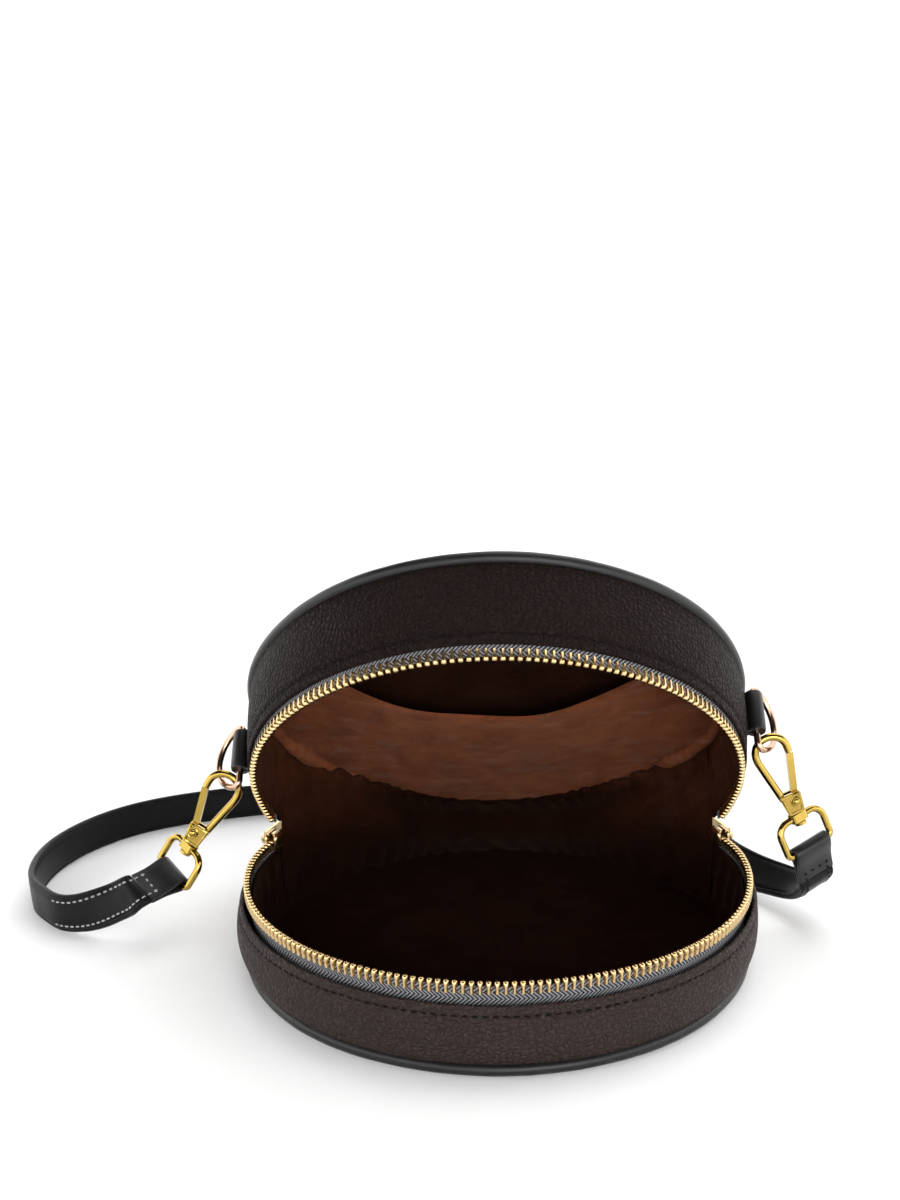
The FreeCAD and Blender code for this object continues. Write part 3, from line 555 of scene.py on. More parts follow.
def pebbled_leather(colour, name, gain, gloss):
    """Soft leather with an irregular pebbled grain, with painted shade in the creases between the pebbles."""
    colour = tint(colour, gain)[:3]
    f = Finish(name)
    warp = f.add("ShaderNodeTexNoise", Scale=420.0, Detail=2.0)
    f.set(warp.inputs["Vector"], f.place.outputs["Object"])
    shift = f.add("ShaderNodeVectorMath", {"operation": "MULTIPLY_ADD"})
    f.set(shift.inputs[0], warp.outputs["Color"])
    shift.inputs[1].default_value = (0.0009, 0.0009, 0.0009)
    f.set(shift.inputs[2], f.place.outputs["Object"])
    cells = f.add("ShaderNodeTexVoronoi", {"feature": "DISTANCE_TO_EDGE"}, Scale=480.0, Randomness=0.9)
    f.set(cells.inputs["Vector"], shift.outputs[0])
    pebble = f.spread(cells.outputs["Distance"], 0.0, 0.34)
    fine = f.noise(2600.0, 2.0)
    broad = f.noise(32.0, 3.0)
    height = f.math("MULTIPLY_ADD", fine, 0.05, f.math("SMOOTH_MIN", pebble, 0.8, 0.5))
    # Painted shade: the colour darkens towards the creases between the pebbles
    crease = f.spread(pebble, 0.0, 0.4)
    shade_low = f.mix(broad, tint(colour, 0.6), tint(colour, 0.8))
    shade_high = f.mix(broad, tint(colour, 0.92), tint(colour, 1.25))
    f.shade(Base_Color=f.mix(crease, shade_low, shade_high),
            Roughness=f.spread(pebble, 0.0, 1.0, 0.6, 0.4),
            Normal=f.bump(height, 0.0006, 1.0), Specular_IOR_Level=gloss)
    return f.material


def black_leather(colour, name, gloss):
    """Smooth finished leather with a fine grain, scuffed a little in places."""
    f = Finish(name)
    grain = f.add("ShaderNodeTexVoronoi", {"feature": "DISTANCE_TO_EDGE"}, Scale=1500.0, Randomness=1.0)
    f.set(grain.inputs["Vector"], f.place.outputs["Object"])
    cells = f.spread(grain.outputs["Distance"], 0.0, 0.28)
    broad = f.noise(70.0, 4.0)
    scuff = f.spread(f.noise(260.0, 4.0, 0.7), 0.62, 0.85)
    base = f.mix(broad, tint(colour, 0.75), tint(colour, 1.7))
    f.shade(Base_Color=f.mix(scuff, base, tint(colour, 3.2)),
            Roughness=f.math("MULTIPLY_ADD", broad, 0.12, f.spread(cells, 0.0, 1.0, 0.34, 0.24)),
            Normal=f.bump(cells, 0.00007, 0.4), Specular_IOR_Level=gloss)
    return f.material


def suede(colour, name, gain, low=1.0):
    """Napped lining: nap patches, brush streaks painted lighter as a painted sheen, lint specks and a soft
    sheen, and painted shade that darkens it low down to the given share.
    """
    f = Finish(name)
    nap = f.noise(58.0, 5.0, 0.62, distort=0.6)
    brush = f.add("ShaderNodeMapping", Vector=f.place.outputs["Object"])
    brush.inputs["Rotation"].default_value = (0.5, 0.3, 0.6)
    brush.inputs["Scale"].default_value = (40.0, 110.0, 90.0)
    # Painted sheen: brush streaks that lighten the colour towards a paler tone
    sheen_strokes = f.spread(f.noise(1.0, 4.0, 0.6, brush.outputs["Vector"], 1.5), 0.5, 0.78)
    fibre = f.noise(1900.0, 3.0, 0.7)
    lint = f.spread(f.noise(900.0, 1.0), 0.77, 0.82)
    patches = f.mix(f.spread(nap, 0.3, 0.7), tint(colour, 0.62 * gain), tint(colour, 1.3 * gain))
    soft = f.mix(f.math("MULTIPLY", fibre, 0.5), patches, tint(colour, 0.5 * gain))
    pale = tuple(0.6 * c + 0.4 * max(colour) for c in colour)
    # Painted sheen mixed into the colour along the brush streaks
    brushed_sheen = f.mix(f.math("MULTIPLY", sheen_strokes, 0.32), soft, tint(pale, 1.35 * gain))
    speckled = f.mix(f.math("MULTIPLY", lint, 0.35), brushed_sheen, tint(colour, 5.0 * gain))
    height = f.add("ShaderNodeSeparateXYZ", Vector=f.place.outputs["Object"]).outputs["Z"]
    # Painted shade: the colour darkens low down to the given share
    painted_shade_low_down = f.spread(height, SHADE_DEEPEST_HEIGHT, SHADE_END_HEIGHT, low, 1.0)
    pile = f.math("MULTIPLY_ADD", nap, 0.5, fibre)
    f.shade(Base_Color=f.mix(painted_shade_low_down, (0, 0, 0, 1), speckled), Roughness=0.95,
            Normal=f.bump(pile, 0.00022, 0.55),
            Sheen_Weight=0.12 * gain, Sheen_Roughness=0.42, Sheen_Tint=(0.55, 0.33, 0.24, 1.0),
            Specular_IOR_Level=0.03)
    return f.material


def zip_tape_weave(colour):
    """Woven tape: zigzag ribs that run along the zip, coloured from dark between the ribs to light on their
    tops, partly the weave's pattern and partly painted shade and painted highlight.
    """
    f = Finish("zip_tape")
    split = f.add("ShaderNodeSeparateXYZ", Vector=f.place.outputs["UV"])
    column = f.math("PINGPONG", split.outputs["Y"], 0.0026)
    slant = f.math("ADD", split.outputs["X"], column)
    rib = f.math("PINGPONG", f.math("DIVIDE", slant, 0.00075), 1.0)
    fray = f.noise(2400.0, 2.0)
    height = f.math("MULTIPLY_ADD", fray, 0.3, rib)
    # Painted highlight on the rib tops and painted shade between the ribs, on top of the weave's pattern
    f.shade(Base_Color=f.mix(f.spread(height, 0.35, 1.15), tint(colour, 0.15), tint(colour, 6.2)),
            Roughness=0.75, Normal=f.bump(height, 0.0003, 0.9), Specular_IOR_Level=0.12)
    return f.material


def plated(name, colour, rough, smudge):
    """Polished plate with faint smudges and hairlines."""
    f = Finish(name)
    cloud = f.noise(180.0, 4.0, 0.6)
    hair = f.noise(1400.0, 2.0)
    f.shade(Base_Color=f.mix(f.spread(cloud, 0.35, 0.75), tint(colour), tint(colour, 0.86)), Metallic=1.0,
            Roughness=f.math("MULTIPLY_ADD", cloud, smudge, rough), Normal=f.bump(hair, 0.00002, 0.12))
    return f.material


def thread(name, colour):
    """Waxed sewing thread."""
    f = Finish(name)
    twist = f.noise(2200.0, 2.0)
    f.shade(Base_Color=f.mix(twist, tint(colour, 0.7), tint(colour, 1.2)), Roughness=0.6,
            Normal=f.bump(twist, 0.00008, 0.5), Specular_IOR_Level=0.08)
    return f.material


def board():
    """Grey-brown stiffener board."""
    f = Finish("stiffener_board")
    flecks = f.noise(900.0, 4.0, 0.7)
    f.shade(Base_Color=f.mix(flecks, (0.12, 0.09, 0.06, 1), (0.26, 0.21, 0.15, 1)), Roughness=0.9,
            Normal=f.bump(flecks, 0.0001, 0.4))
    return f.material


finishes = {}


def make_finishes(colours):
    """Every material by its short name."""
    finishes.update(
        # Lit and shaded copies of the one brown leather: the lower half and rear fold take a brightened copy
        # as painted light, the lid a darkened copy as painted shade
        brown=pebbled_leather(colours.brown_leather, "pebbled_leather_base", 1.4, 0.12),
        lid_brown=pebbled_leather(colours.brown_leather, "pebbled_leather_lid", 0.6, 0.035),
        black=black_leather(colours.black_leather, "black_leather_smooth", 0.09),
        cord=black_leather(colours.black_leather, "black_leather_cord", 0.32),
        # Copies of the one suede lit and shaded by their gains: the pocket's copy brightened as painted
        # light, the side walls' and rear lining's copy darkened as painted shade and darker still low down,
        # the panels' copy darkest as painted shade
        suede=suede(colours.suede, "suede_side", 0.4, 0.2),
        base_suede=suede(colours.suede, "suede_base", 0.11),
        pocket=suede(colours.suede, "suede_pocket", 1.15),
        tape=zip_tape_weave(colours.zip_tape),
        zip=plated("zip_gold", colours.zip_gold, 0.16, 0.14),
        hook=plated("hook_gold", colours.hook_gold, 0.035, 0.08),
        rose=plated("rose_gold", colours.rose_gold, 0.09, 0.12),
        steel=plated("spring_steel", (0.55, 0.55, 0.57), 0.3, 0.1),
        dark=thread("dark_thread", colours.dark_thread),
        pale=thread("pale_thread", colours.pale_thread),
        board=board(),
    )


# Shell

FOLD_ROUND = 9
GUSSET_STATIONS = 260
GROOVE_DEPTH = 0.55 * MM
GROOVE_HALF = 0.8 * MM
GROOVE_FOOT = 2.2 * MM
GROOVE_RISE = 1.8 * MM
GUSSET_TUCK = 1.1 * MM
TUCK_HEIGHT = 3.2 * MM
WALL_ROWS = 14
WALL_WAVE = 0.22 * MM
LEFT_SAG = 1.2
RIGHT_SAG = 0.75
HINGE_END_GAP = 1.0 * MM
STITCH_END_GAP = 2.5 * MM
STITCH_STAND = 0.12 * MM
RIM_FADE = math.radians(17)
CORD_UNEVEN = 0.022
CORD_WANDER = 0.18 * MM
PANEL_WAVE = 0.35 * MM
PANEL_EDGE = 0.9 * MM
PANEL_EDGE_SHARE = 0.035


def rim_ease(angle):
    """1 round the front and sides, 0 at the hinge ends."""
    return ease((front_span(GUSSET_R, HINGE_END_GAP) - np.abs(angle)) / RIM_FADE)


def gusset_face(half, sizes, angle, z):
    """Radius of the side wall's outer face."""
    low = PIPING_Z
    share = np.clip((z - low) / (half.edge - low), 0, 1)
    swell = sizes.belly * np.sin(math.pi * share) * (1 + 0.35 * ripple(angle, (2, 5), half.phase))
    lean = half.flare * share ** 1.4 * rim_ease(angle)
    if half.name == "lower":
        heavy = np.where(np.asarray(angle) < 0, LEFT_SAG, RIGHT_SAG)
        sideways = heavy * np.sin(angle) ** 2 * rim_ease(angle)
        swell = swell + sizes.side_sag * sideways * np.sin(math.pi * share ** 0.75)
    uneven = ripple(angle + 0.6 * share, (3, 7, 11), half.phase + 0.8)
    wave = WALL_WAVE * uneven * np.sin(math.pi * share / 1.3)
    tuck = GUSSET_TUCK * (1 - ease((z - low) / TUCK_HEIGHT))
    line = half.edge - sizes.stitch_inset
    groove = GROOVE_DEPTH * np.exp(-((z - line) / GROOVE_HALF) ** 2)
    return GUSSET_R + swell + lean + wave - tuck - groove


def gusset(half, sizes):
    """Side wall: a soft shell from the piping to a folded edge beside the zip."""
    span = front_span(GUSSET_R, HINGE_END_GAP)
    fold = sizes.leather / 2
    top = half.edge - fold
    line = half.edge - sizes.stitch_inset
    below = np.linspace(PIPING_Z, line - GROOVE_FOOT, WALL_ROWS)
    above = np.linspace(line - GROOVE_RISE, top, WALL_ROWS)
    heights = np.concatenate([below, above])
    over = np.linspace(0, math.pi, FOLD_ROUND)[1:-1]
    sections = []
    for angle in np.linspace(-span, span, GUSSET_STATIONS):
        face = gusset_face(half, sizes, angle, heights)
        r = np.concatenate([face, face[-1] - fold + fold * np.cos(over), (face - sizes.leather)[::-2]])
        z = np.concatenate([heights, top + fold * np.sin(over), heights[::-2]])
        sections.append(polar(r, angle, z))
    piece = skin(half.name + "_side_wall", half.place(sections), finishes[half.leather])
    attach(piece, half.body)
    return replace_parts(piece, half.name + "_gusset")


def gusset_stitches(half, sizes):
    """Row of stitches in the groove beside the folded edge."""
    span = front_span(GUSSET_R, STITCH_END_GAP)
    line = half.edge - sizes.stitch_inset
    angles = np.linspace(-span, span, 400)
    path = polar(gusset_face(half, sizes, angles, line) + STITCH_STAND, angles, line)
    needle = pattern_piece("stitch", capsule(length=2.5 * MM, width=0.95 * MM, height=0.6 * MM))
    ways = half.aim(polar(np.ones_like(angles), angles, 0))
    piece = row_along(half.name + "_side_stitches", [half.place(path)], [ways], needle, sizes.stitch_pitch,
                      finishes["dark"])
    remove(needle)
    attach(piece, half.body)
    return piece


def piping(half):
    """Rolled leather cord in the seam, a little uneven."""
    turns = round_turns(17)
    sections = []
    for angle in round_turns(300, -math.pi):
        size = PIPING_R * (1 + CORD_UNEVEN * ripple(angle, (9, 23, 41), half.phase))
        centre = BAG_R - PIPING_R + CORD_WANDER * ripple(angle, (4, 9), half.phase)
        r = centre + size * np.cos(turns)
        z = PIPING_Z + size * np.sin(turns)
        sections.append(polar(r, angle, z))
    piece = skin(half.name + "_edge_piping", half.place(sections), finishes["cord"], ring=True)
    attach(piece, half.body)
    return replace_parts(piece, half.name + "_piping")


def panel(half, sizes):
    """Round outer panel, swollen a little where nothing presses on it."""
    dome = sizes.dome if half.name == "upper" else 0.0
    radii = PANEL_R * np.sin(np.linspace(0, math.pi / 2, 30))
    share = radii / PANEL_R
    sections = []
    for angle in round_turns(180, -math.pi):
        wave = PANEL_WAVE * ripple(angle, (3, 5), half.phase) * share * (1 - share ** 4) * (dome > 0)
        edge = PANEL_EDGE * ease((share - 1 + PANEL_EDGE_SHARE) / PANEL_EDGE_SHARE)
        outer = -dome * (1 - share ** 2.4) - wave + edge
        r = np.concatenate([radii, radii[::-1]])
        z = np.concatenate([outer, np.full_like(outer, PANEL_THICK)])
        sections.append(polar(r, angle, z))
    piece = skin(half.name + "_leather_panel", half.place(sections), finishes[half.leather], ring=True)
    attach(piece, half.body)
    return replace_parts(piece, half.name + "_panel")


# Zip

TAPE = 0.8 * MM
TAPE_WIDTH = 15.0 * MM
TAPE_TOP_GAP = 1.05 * MM
TEETH_END_GAP = 9.0 * MM
TAPE_END_GAP = 7.5 * MM
LOWER_TAPE_END_GAP = 3.5 * MM
CHAIN_LEAN_LOW = 8.0 * MM


def chain_radius(half, angle, z):
    """Middle of the tape. The chain leans at the front and sides, by its half's own flare."""
    start = half.edge - CHAIN_LEAN_LOW
    lean = half.chain_flare * ease((z - start) / (half.height - start))
    return TAPE_R - TAPE / 2 + lean * rim_ease(angle)


def zip_tape(half):
    """Half of the zip's woven tape."""
    end_gap = LOWER_TAPE_END_GAP if half.name == "lower" else TAPE_END_GAP
    span = front_span(TAPE_R, end_gap)
    top = half.height - TAPE_TOP_GAP
    heights = np.linspace(top - TAPE_WIDTH, top, 16)
    angles = np.linspace(-span, span, 241)
    grid = np.stack([polar(chain_radius(half, a, heights), a, heights) for a in angles])
    piece = skin(half.name + "_woven_tape", half.place(sheet_sections(grid, TAPE)), finishes["tape"])
    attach(piece, half.body)
    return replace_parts(piece, half.name + "_zip_tape")


# Height, width and depth of a tooth from its legs to its head, in millimetres
TOOTH_LEVELS = (
    (-3.55, 1.25, 1.7), (-3.4, 1.7, 2.2), (-2.8, 1.65, 2.4), (-2.0, 1.4, 2.5), (-1.45, 1.4, 2.55),
    (-0.85, 1.8, 2.6), (-0.15, 2.05, 2.5), (0.4, 1.8, 2.2), (0.8, 1.2, 1.6), (0.98, 0.5, 0.8),
)
TOOTH_GAIN = 1.08


def tooth_loops():
    """One cast tooth: two legs that grip the tape run into a neck and a rounded head."""
    loops = []
    for level, wide, deep in TOOTH_LEVELS:
        x, y = wide / 2 * MM * TOOTH_GAIN, deep / 2 * MM * TOOTH_GAIN
        loops.append([(x * math.cos(q), y * math.sin(q), level * MM) for q in round_turns(8, math.pi / 8)])
    return loops


def zip_teeth(half, sizes):
    """Row of teeth along the tape's edge. The upper row is half a pitch off the lower."""
    radius = TAPE_R - TAPE / 2
    reach = front_span(radius, TEETH_END_GAP)
    step = sizes.tooth_pitch / radius
    reach = step * int(reach / step) - (step / 2 if half.name == "upper" else 0)
    angles = np.linspace(-reach, reach, 500)
    path = polar(chain_radius(half, angles, half.height), angles, half.height)
    tooth = pattern_piece("tooth", tooth_loops())
    piece = row_along(half.name + "_cast_teeth", [half.place(path)], [half.aim(np.array([0, 0, 1.0]))], tooth,
                      sizes.tooth_pitch, finishes["zip"])
    remove(tooth)
    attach(piece, half.body)
    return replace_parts(piece, half.name + "_zip_teeth")


# Sliders

SLIDER_LENGTH = 9.0 * MM
SLIDER_HEIGHT = 7.4 * MM
SLIDER_PLATE = 1.2 * MM
SLIDER_CHANNEL = 3.1 * MM
SLIDER_SLOT = 1.3 * MM
SLIDER_FLANGE = 0.9 * MM
SLIDER_END_GAP = 3.6 * MM
BRIDGE_RISE = 3.4 * MM
BRIDGE_SPAN = 5.6 * MM
BRIDGE_WIDTH = 3.0 * MM
BRIDGE_WIRE = 1.4 * MM
DIVIDER_LENGTH = 3.6 * MM
DIVIDER_TIP = 0.5 * MM
DIVIDER_LOW = 1.2 * MM
RIM_INSET = 0.2 * MM
SHIELD_POWER = 2 / 3.2

# Depth of a slider's plate at each loop, and the loop's size, as shares of the plate
SLIDER_DOME = (
    (0.0, 0.95), (0.25, 1.0), (0.55, 1.0), (0.85, 0.94), (1.05, 0.82), (1.18, 0.62), (1.25, 0.34),
)


def soft_outline(length, height, count=28):
    """Rounded shield in the plane of a slider's plate."""
    turns = round_turns(count)
    x, z = (np.sign(v) * np.abs(v) ** SHIELD_POWER for v in (np.cos(turns), np.sin(turns)))
    return np.stack([length / 2 * x, height / 2 * z], -1)


def slider(side, word):
    """Slider on the lower tape: two domed plates with turned rims, a wedge between and the pull's bridge."""
    radius = TAPE_R - TAPE / 2
    turn = side * (front_span(radius, SLIDER_END_GAP) - SLIDER_LENGTH / 2 / radius)
    centre = polar(radius, turn, LOWER_H)
    out = polar(1.0, turn, 0.0)
    along = np.array([math.cos(turn), math.sin(turn), 0])
    up = np.array([0, 0, 1.0])

    def put(flat, depth):
        return [centre + along * x + up * z + out * depth for x, z in flat]

    channel = SLIDER_CHANNEL / 2
    plate = soft_outline(SLIDER_LENGTH, SLIDER_HEIGHT)
    wire_outline = soft_outline(2, 2, 12)
    parts = []
    for face in (1, -1):
        loops = [put(plate * size, face * (channel + SLIDER_PLATE * share)) for share, size in SLIDER_DOME]
        parts.append(skin("slider_plate", loops, finishes["zip"]))
        for edge in (1, -1):
            rim = (SLIDER_HEIGHT - SLIDER_FLANGE) / 2 * edge
            middle = (channel + SLIDER_SLOT / 2) / 2 + RIM_INSET
            deep = channel - SLIDER_SLOT / 2
            loops = []
            for x in np.linspace(-0.36, 0.36, 9) * SLIDER_LENGTH:
                loops.append([centre + along * x + up * (rim + SLIDER_FLANGE / 2 * z)
                              + out * face * (middle + deep / 2 * y) for y, z in wire_outline])
            parts.append(skin("slider_rim", loops, finishes["zip"]))
    top = SLIDER_HEIGHT / 2 - SLIDER_FLANGE / 2
    wedge = [(-DIVIDER_LENGTH / 2, top), (-DIVIDER_TIP, DIVIDER_LOW), (DIVIDER_TIP, DIVIDER_LOW),
             (DIVIDER_LENGTH / 2, top)]
    loops = [put(wedge, depth) for depth in (-channel, 0, channel)]
    parts.append(skin("slider_wedge", loops, finishes["zip"]))
    face_at = channel + SLIDER_PLATE * 0.8
    wire = BRIDGE_WIRE / 2
    loops = []
    for q in np.linspace(0, math.pi, 17):
        x, rise = math.cos(q), math.sin(q) ** 0.7
        spot = centre + along * (BRIDGE_SPAN / 2 - wire) * x + out * (face_at + (BRIDGE_RISE - wire) * rise)
        aim = along * x + out * math.sin(q)
        loops.append([spot + aim * wire * a + up * BRIDGE_WIDTH / 2 * b for a, b in wire_outline])
    parts.append(skin("slider_bridge", loops, finishes["zip"]))
    piece = join(word + "_cast_slider", parts, finishes["zip"])
    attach(piece, "slider_" + word)
    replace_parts(piece, word + "_slider")


# Lining

LINING = 0.8 * MM
LINING_TOP_GAP = 4.2 * MM
LINING_BACK = 0.1 * MM
LINING_WAVE = 0.45 * MM
GATHER_START = math.radians(66)
PLEATS = 46
PLEAT_DEPTH = 1.9 * MM
SLACK = 0.5 * MM
CORNER_INSET = 3.0 * MM
CORNER_HEIGHT = 7.0 * MM


def lining_wall(half):
    """Side lining, loose and gathered towards the hinge."""
    span = front_span(LINING_R, HINGE_END_GAP)
    heights = np.linspace(LINING_FLOOR - LINING, half.height - LINING_TOP_GAP, 40)
    rise = (heights - heights[0]) / (heights[-1] - heights[0])
    grid = []
    for angle in np.linspace(-span, span, 300):
        gather = ease((abs(angle) - GATHER_START) / (span - GATHER_START))
        pleat = 0.5 + 0.5 * np.sin(PLEATS * angle + 2.6 * rise + 1.4 * np.sin(7 * angle))
        slack = 0.5 + 0.5 * ripple(angle + 0.3 * rise, (5, 13), half.phase)
        loose = np.sin(math.pi * np.clip(rise * 1.05, 0, 1))
        inward = (SLACK * slack + PLEAT_DEPTH * gather * pleat) * loose
        corner = CORNER_INSET * (1 - ease((heights - heights[0]) / CORNER_HEIGHT))
        grid.append(polar(LINING_R - LINING / 2 - LINING_BACK - inward - corner, angle, heights))
    sections = half.place(sheet_sections(grid, LINING * 0.8))
    piece = skin(half.name + "_side_lining", sections, finishes["suede"])
    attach(piece, half.body)
    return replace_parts(piece, half.name + "_gusset_lining")


def lining_floor(half):
    """Lining on the panel, with slow waves where it isn't glued."""
    radii = PANEL_R * np.linspace(0, 1, 40)
    share = radii / PANEL_R
    sections = []
    for angle in round_turns(144, -math.pi):
        uneven = 1 + ripple(angle + 2 * share, (2, 5), half.phase)
        wave = LINING_WAVE * uneven * np.sin(math.pi * share) ** 2
        r = np.concatenate([radii, radii[::-1]])
        z = np.concatenate([np.full_like(radii, LINING_FLOOR - LINING), (LINING_FLOOR + wave)[::-1]])
        sections.append(polar(r, angle, z))
    # The panel lining takes the darkest copy of the suede, as painted shade
    piece = skin(half.name + "_panel_lining", half.place(sections), finishes["base_suede"], ring=True)
    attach(piece, half.body)
    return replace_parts(piece, half.name + "_lining_panel")


# Angle from the front, radius and thickness of the roll along the lid's sewn edge, one side (degrees, mm, mm)
ROLL_LINE = ((84, 92.6, 1.0), (92, 92.2, 1.8), (99, 91.4, 2.6), (105.5, 89.5, 3.3), (112, 86.8, 3.6),
             (119, 84.6, 3.5), (126, 83.2, 3.0), (140, 82.2, 2.0), (180, 81.8, 1.8))
ROLL_RISE = 2.6 * MM
ROLL_UNEVEN = 0.22
ROLL_WANDER = 0.5 * MM


def lid_roll(upper):
    """Puffed roll of lining where the lid's lining is sewn to its side and rear."""
    near = ROLL_LINE[0][0]
    table = np.array(ROLL_LINE)
    turns = round_turns(14)
    sections = []
    for degrees in np.linspace(near, 360 - near, 320):
        at = 180 - abs(degrees - 180)
        radius = np.interp(at, table[:, 0], table[:, 1]) * MM
        angle = math.radians(degrees)
        puff = 1 + ROLL_UNEVEN * ripple(angle, (19, 34, 47), 0.6)
        thick = np.interp(at, table[:, 0], table[:, 2]) * MM * puff
        r = radius + ROLL_WANDER * ripple(angle, (13, 29), 2.1) + thick * np.cos(turns)
        z = LINING_FLOOR + ROLL_RISE + thick * np.sin(turns) * 0.9
        sections.append(polar(r, angle, z))
    piece = skin("lid_seam_roll", upper.place(sections), finishes["pocket"])
    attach(piece, upper.body)


# Rear fold

SEAM_R = GUSSET_R - 1.6 * MM
SEAM_LOW = PIPING_Z + PIPING_R + 2.2 * MM
FOLD_REACH = 28.5 * MM
FOLD_LEAST = 3.0 * MM
RIDGE_ROUND = 2.2 * MM
RIDGE_SHARE = 0.16
FOLD_STATIONS = 150
FOLD_ROWS = 61
FOLD_END_SHARE = 0.13
REAR_STAND = 1.6 * MM
REAR_SWELL = 2.2 * MM
REAR_PLEATS = 150
REAR_PLEAT = 0.8 * MM
REAR_ROLL = 3.2 * MM
REAR_ROLL_ROW = 0.86
REAR_ROLL_WIDTH = 0.075


def fold_lines(total, lift, end_gap, end_inset, insets, stations):
    """Middle line of the folded rear wall at each station: low seam, ridge and high seam, as a smooth bend.

    The two ends lie end_inset inside the side walls and end_gap from the hinge line, with the ridge there.
    The seams lie insets inside the wall, and lift nearer to the panels than the wall's own seams.
    """
    start = math.asin((HINGE[1] + end_gap) / SEAM_R)
    middle = OPEN_ANGLE / 2
    into = np.array([0, -math.cos(middle), math.sin(middle)])
    lines = []
    for share in np.linspace(0, 1, stations):
        inner = ease(min(share, 1 - share) / FOLD_END_SHARE)
        turn = start + (math.pi - 2 * start) * share
        way = np.array([-math.cos(turn), math.sin(turn), 0])
        low_inset, high_inset = (end_inset + (inset - end_inset) * inner for inset in insets)
        low = way * (SEAM_R - low_inset) + (0, 0, SEAM_LOW - lift)
        high = tip_back(way * (SEAM_R - high_inset) + (0, 0, total - SEAM_LOW + lift))
        gap = np.linalg.norm(high - low)
        reach = math.sqrt(max(FOLD_REACH ** 2 - (gap / 2) ** 2, FOLD_LEAST ** 2))
        at_hinge = np.array([way[0] * (SEAM_R - end_inset), HINGE[1] + end_gap, HINGE[2]])
        ridge = at_hinge * (1 - inner) + ((low + high) / 2 + into * reach) * inner
        t = np.linspace(-1, 1, FOLD_ROWS)
        side = np.where(t[:, None] < 0, low, high)
        straight = ridge + (side - ridge) * np.abs(t)[:, None]
        rounding = np.exp(-(t / RIDGE_SHARE) ** 2)[:, None]
        lines.append(straight - into * RIDGE_ROUND * rounding)
    return np.array(lines)


def across_hinge(piece):
    """Bake a piece's place into its mesh; the piece is not bent between the halves."""
    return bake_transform(piece)


def rear_fold(sizes):
    """Rear side wall, folded in between the halves."""
    total = LOWER_H + sizes.upper_height
    grid = fold_lines(total, lift=0.0, end_gap=-2.5 * MM, end_inset=1.3 * MM, insets=(0.0, 0.0),
                      stations=FOLD_STATIONS)
    wall = skin("rear_fold", sheet_sections(grid, sizes.leather), finishes["brown"])
    across_hinge(wall)
    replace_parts(wall, "hinge_gusset")


def rear_lining(sizes):
    """Loose lining over the rear fold, gathered where it is sewn to the panels."""
    total = LOWER_H + sizes.upper_height
    grid = fold_lines(total, lift=3.2 * MM, end_gap=-8.0 * MM, end_inset=3.0 * MM,
                      insets=(5.0 * MM, 13.0 * MM), stations=FOLD_STATIONS * 2)
    normal = grid_normals(grid)
    turn = np.linspace(0, 1, len(grid))[:, None]
    rows = np.linspace(-1, 1, FOLD_ROWS)[None, :]
    pleats = np.sin(REAR_PLEATS * turn + 3 * np.sin(19 * turn) + 1.2 * rows)
    swell = REAR_SWELL * (1 - rows ** 2)
    gather = REAR_PLEAT * pleats * ease(np.abs(rows) * 1.3) * (1 - 0.6 * rows ** 8)
    lumps = 1 + 0.4 * ripple(turn * 2 * math.pi, (13, 22, 37), 0.9)
    roll = REAR_ROLL * lumps * np.exp(-((rows - REAR_ROLL_ROW) / REAR_ROLL_WIDTH) ** 2)
    inward = -np.sign(normal[len(grid) // 2, FOLD_ROWS // 2, 1]) or 1.0
    at_ends = ease(np.minimum(turn, 1 - turn) / FOLD_END_SHARE)
    depth = (REAR_STAND + swell + gather + roll) * at_ends
    grid = grid + normal * inward * depth[..., None]
    piece = skin("rear_lining", sheet_sections(grid, LINING), finishes["suede"])
    across_hinge(piece)
    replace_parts(piece, "hinge_lining")


# Slip pocket

POCKET_R = 90.5 * MM
POCKET_HALF = 89.9 * MM
POCKET_MOUTH = -10.5 * MM
POCKET_MOUTH_X = -5.0 * MM
POCKET_BOTTOM_R = 86.0 * MM
POCKET_CORNER = 66.0 * MM
POCKET_CORNER_WIDTH = 18.0 * MM
POCKET_FALL = 95.0 * MM
POCKET_LEAST = 2.0 * MM
POCKET_SLACK = 0.88 * MM
POCKET_WAVE_X = 17.0 * MM
POCKET_WAVE_Y = 23.0 * MM
POCKET_OFF = 1.5 * MM
POCKET_SEWN = 0.8 * MM
MOUTH_HALF = 58.0 * MM
MOUTH_ROLL = 1.2 * MM
MOUTH_WAVE = 9.0 * MM
CLOTH = 0.8 * MM
HEM_EXTRA = 0.9 * MM
HEM_STEP = 0.8 * MM
HEM_WIDTH = 6.5 * MM
HEM_LINE = HEM_WIDTH - 1.6 * MM
HEM_STITCH_STAND = 0.85 * MM
HEM_PITCH = 3.0 * MM


def pocket_mouth(x, sizes):
    """Where the mouth runs on the closed lid: it sags in its middle."""
    return POCKET_MOUTH - sizes.pocket_sag * (np.abs(x - POCKET_MOUTH_X) / MOUTH_HALF) ** 1.7


def pocket_start(x, sizes):
    """The mouth, or the lid's own edge where the mouth runs into it."""
    return max(pocket_mouth(x, sizes), -math.sqrt(POCKET_R ** 2 - x ** 2))


def pocket_depth(x, y, sizes):
    """Depth of the pocket's cloth above the upper panel's own face."""
    share = np.clip(np.hypot(x, y) / POCKET_R, 0, 1)
    fall = np.clip((y - pocket_mouth(x, sizes)) / POCKET_FALL, 0, 1)
    full = sizes.pocket_stand_off * (1 - share ** 3) * (1 - fall) ** 1.5
    slack = POCKET_SLACK * np.sin(x / POCKET_WAVE_X + y / POCKET_WAVE_Y) * (1 - share ** 2)
    roll = MOUTH_ROLL * np.sin(x / MOUTH_WAVE - 0.7) * np.exp(-fall * 6) * (1 - share)
    return LINING_FLOOR + POCKET_OFF - POCKET_SEWN * share ** 6 + full + slack + roll


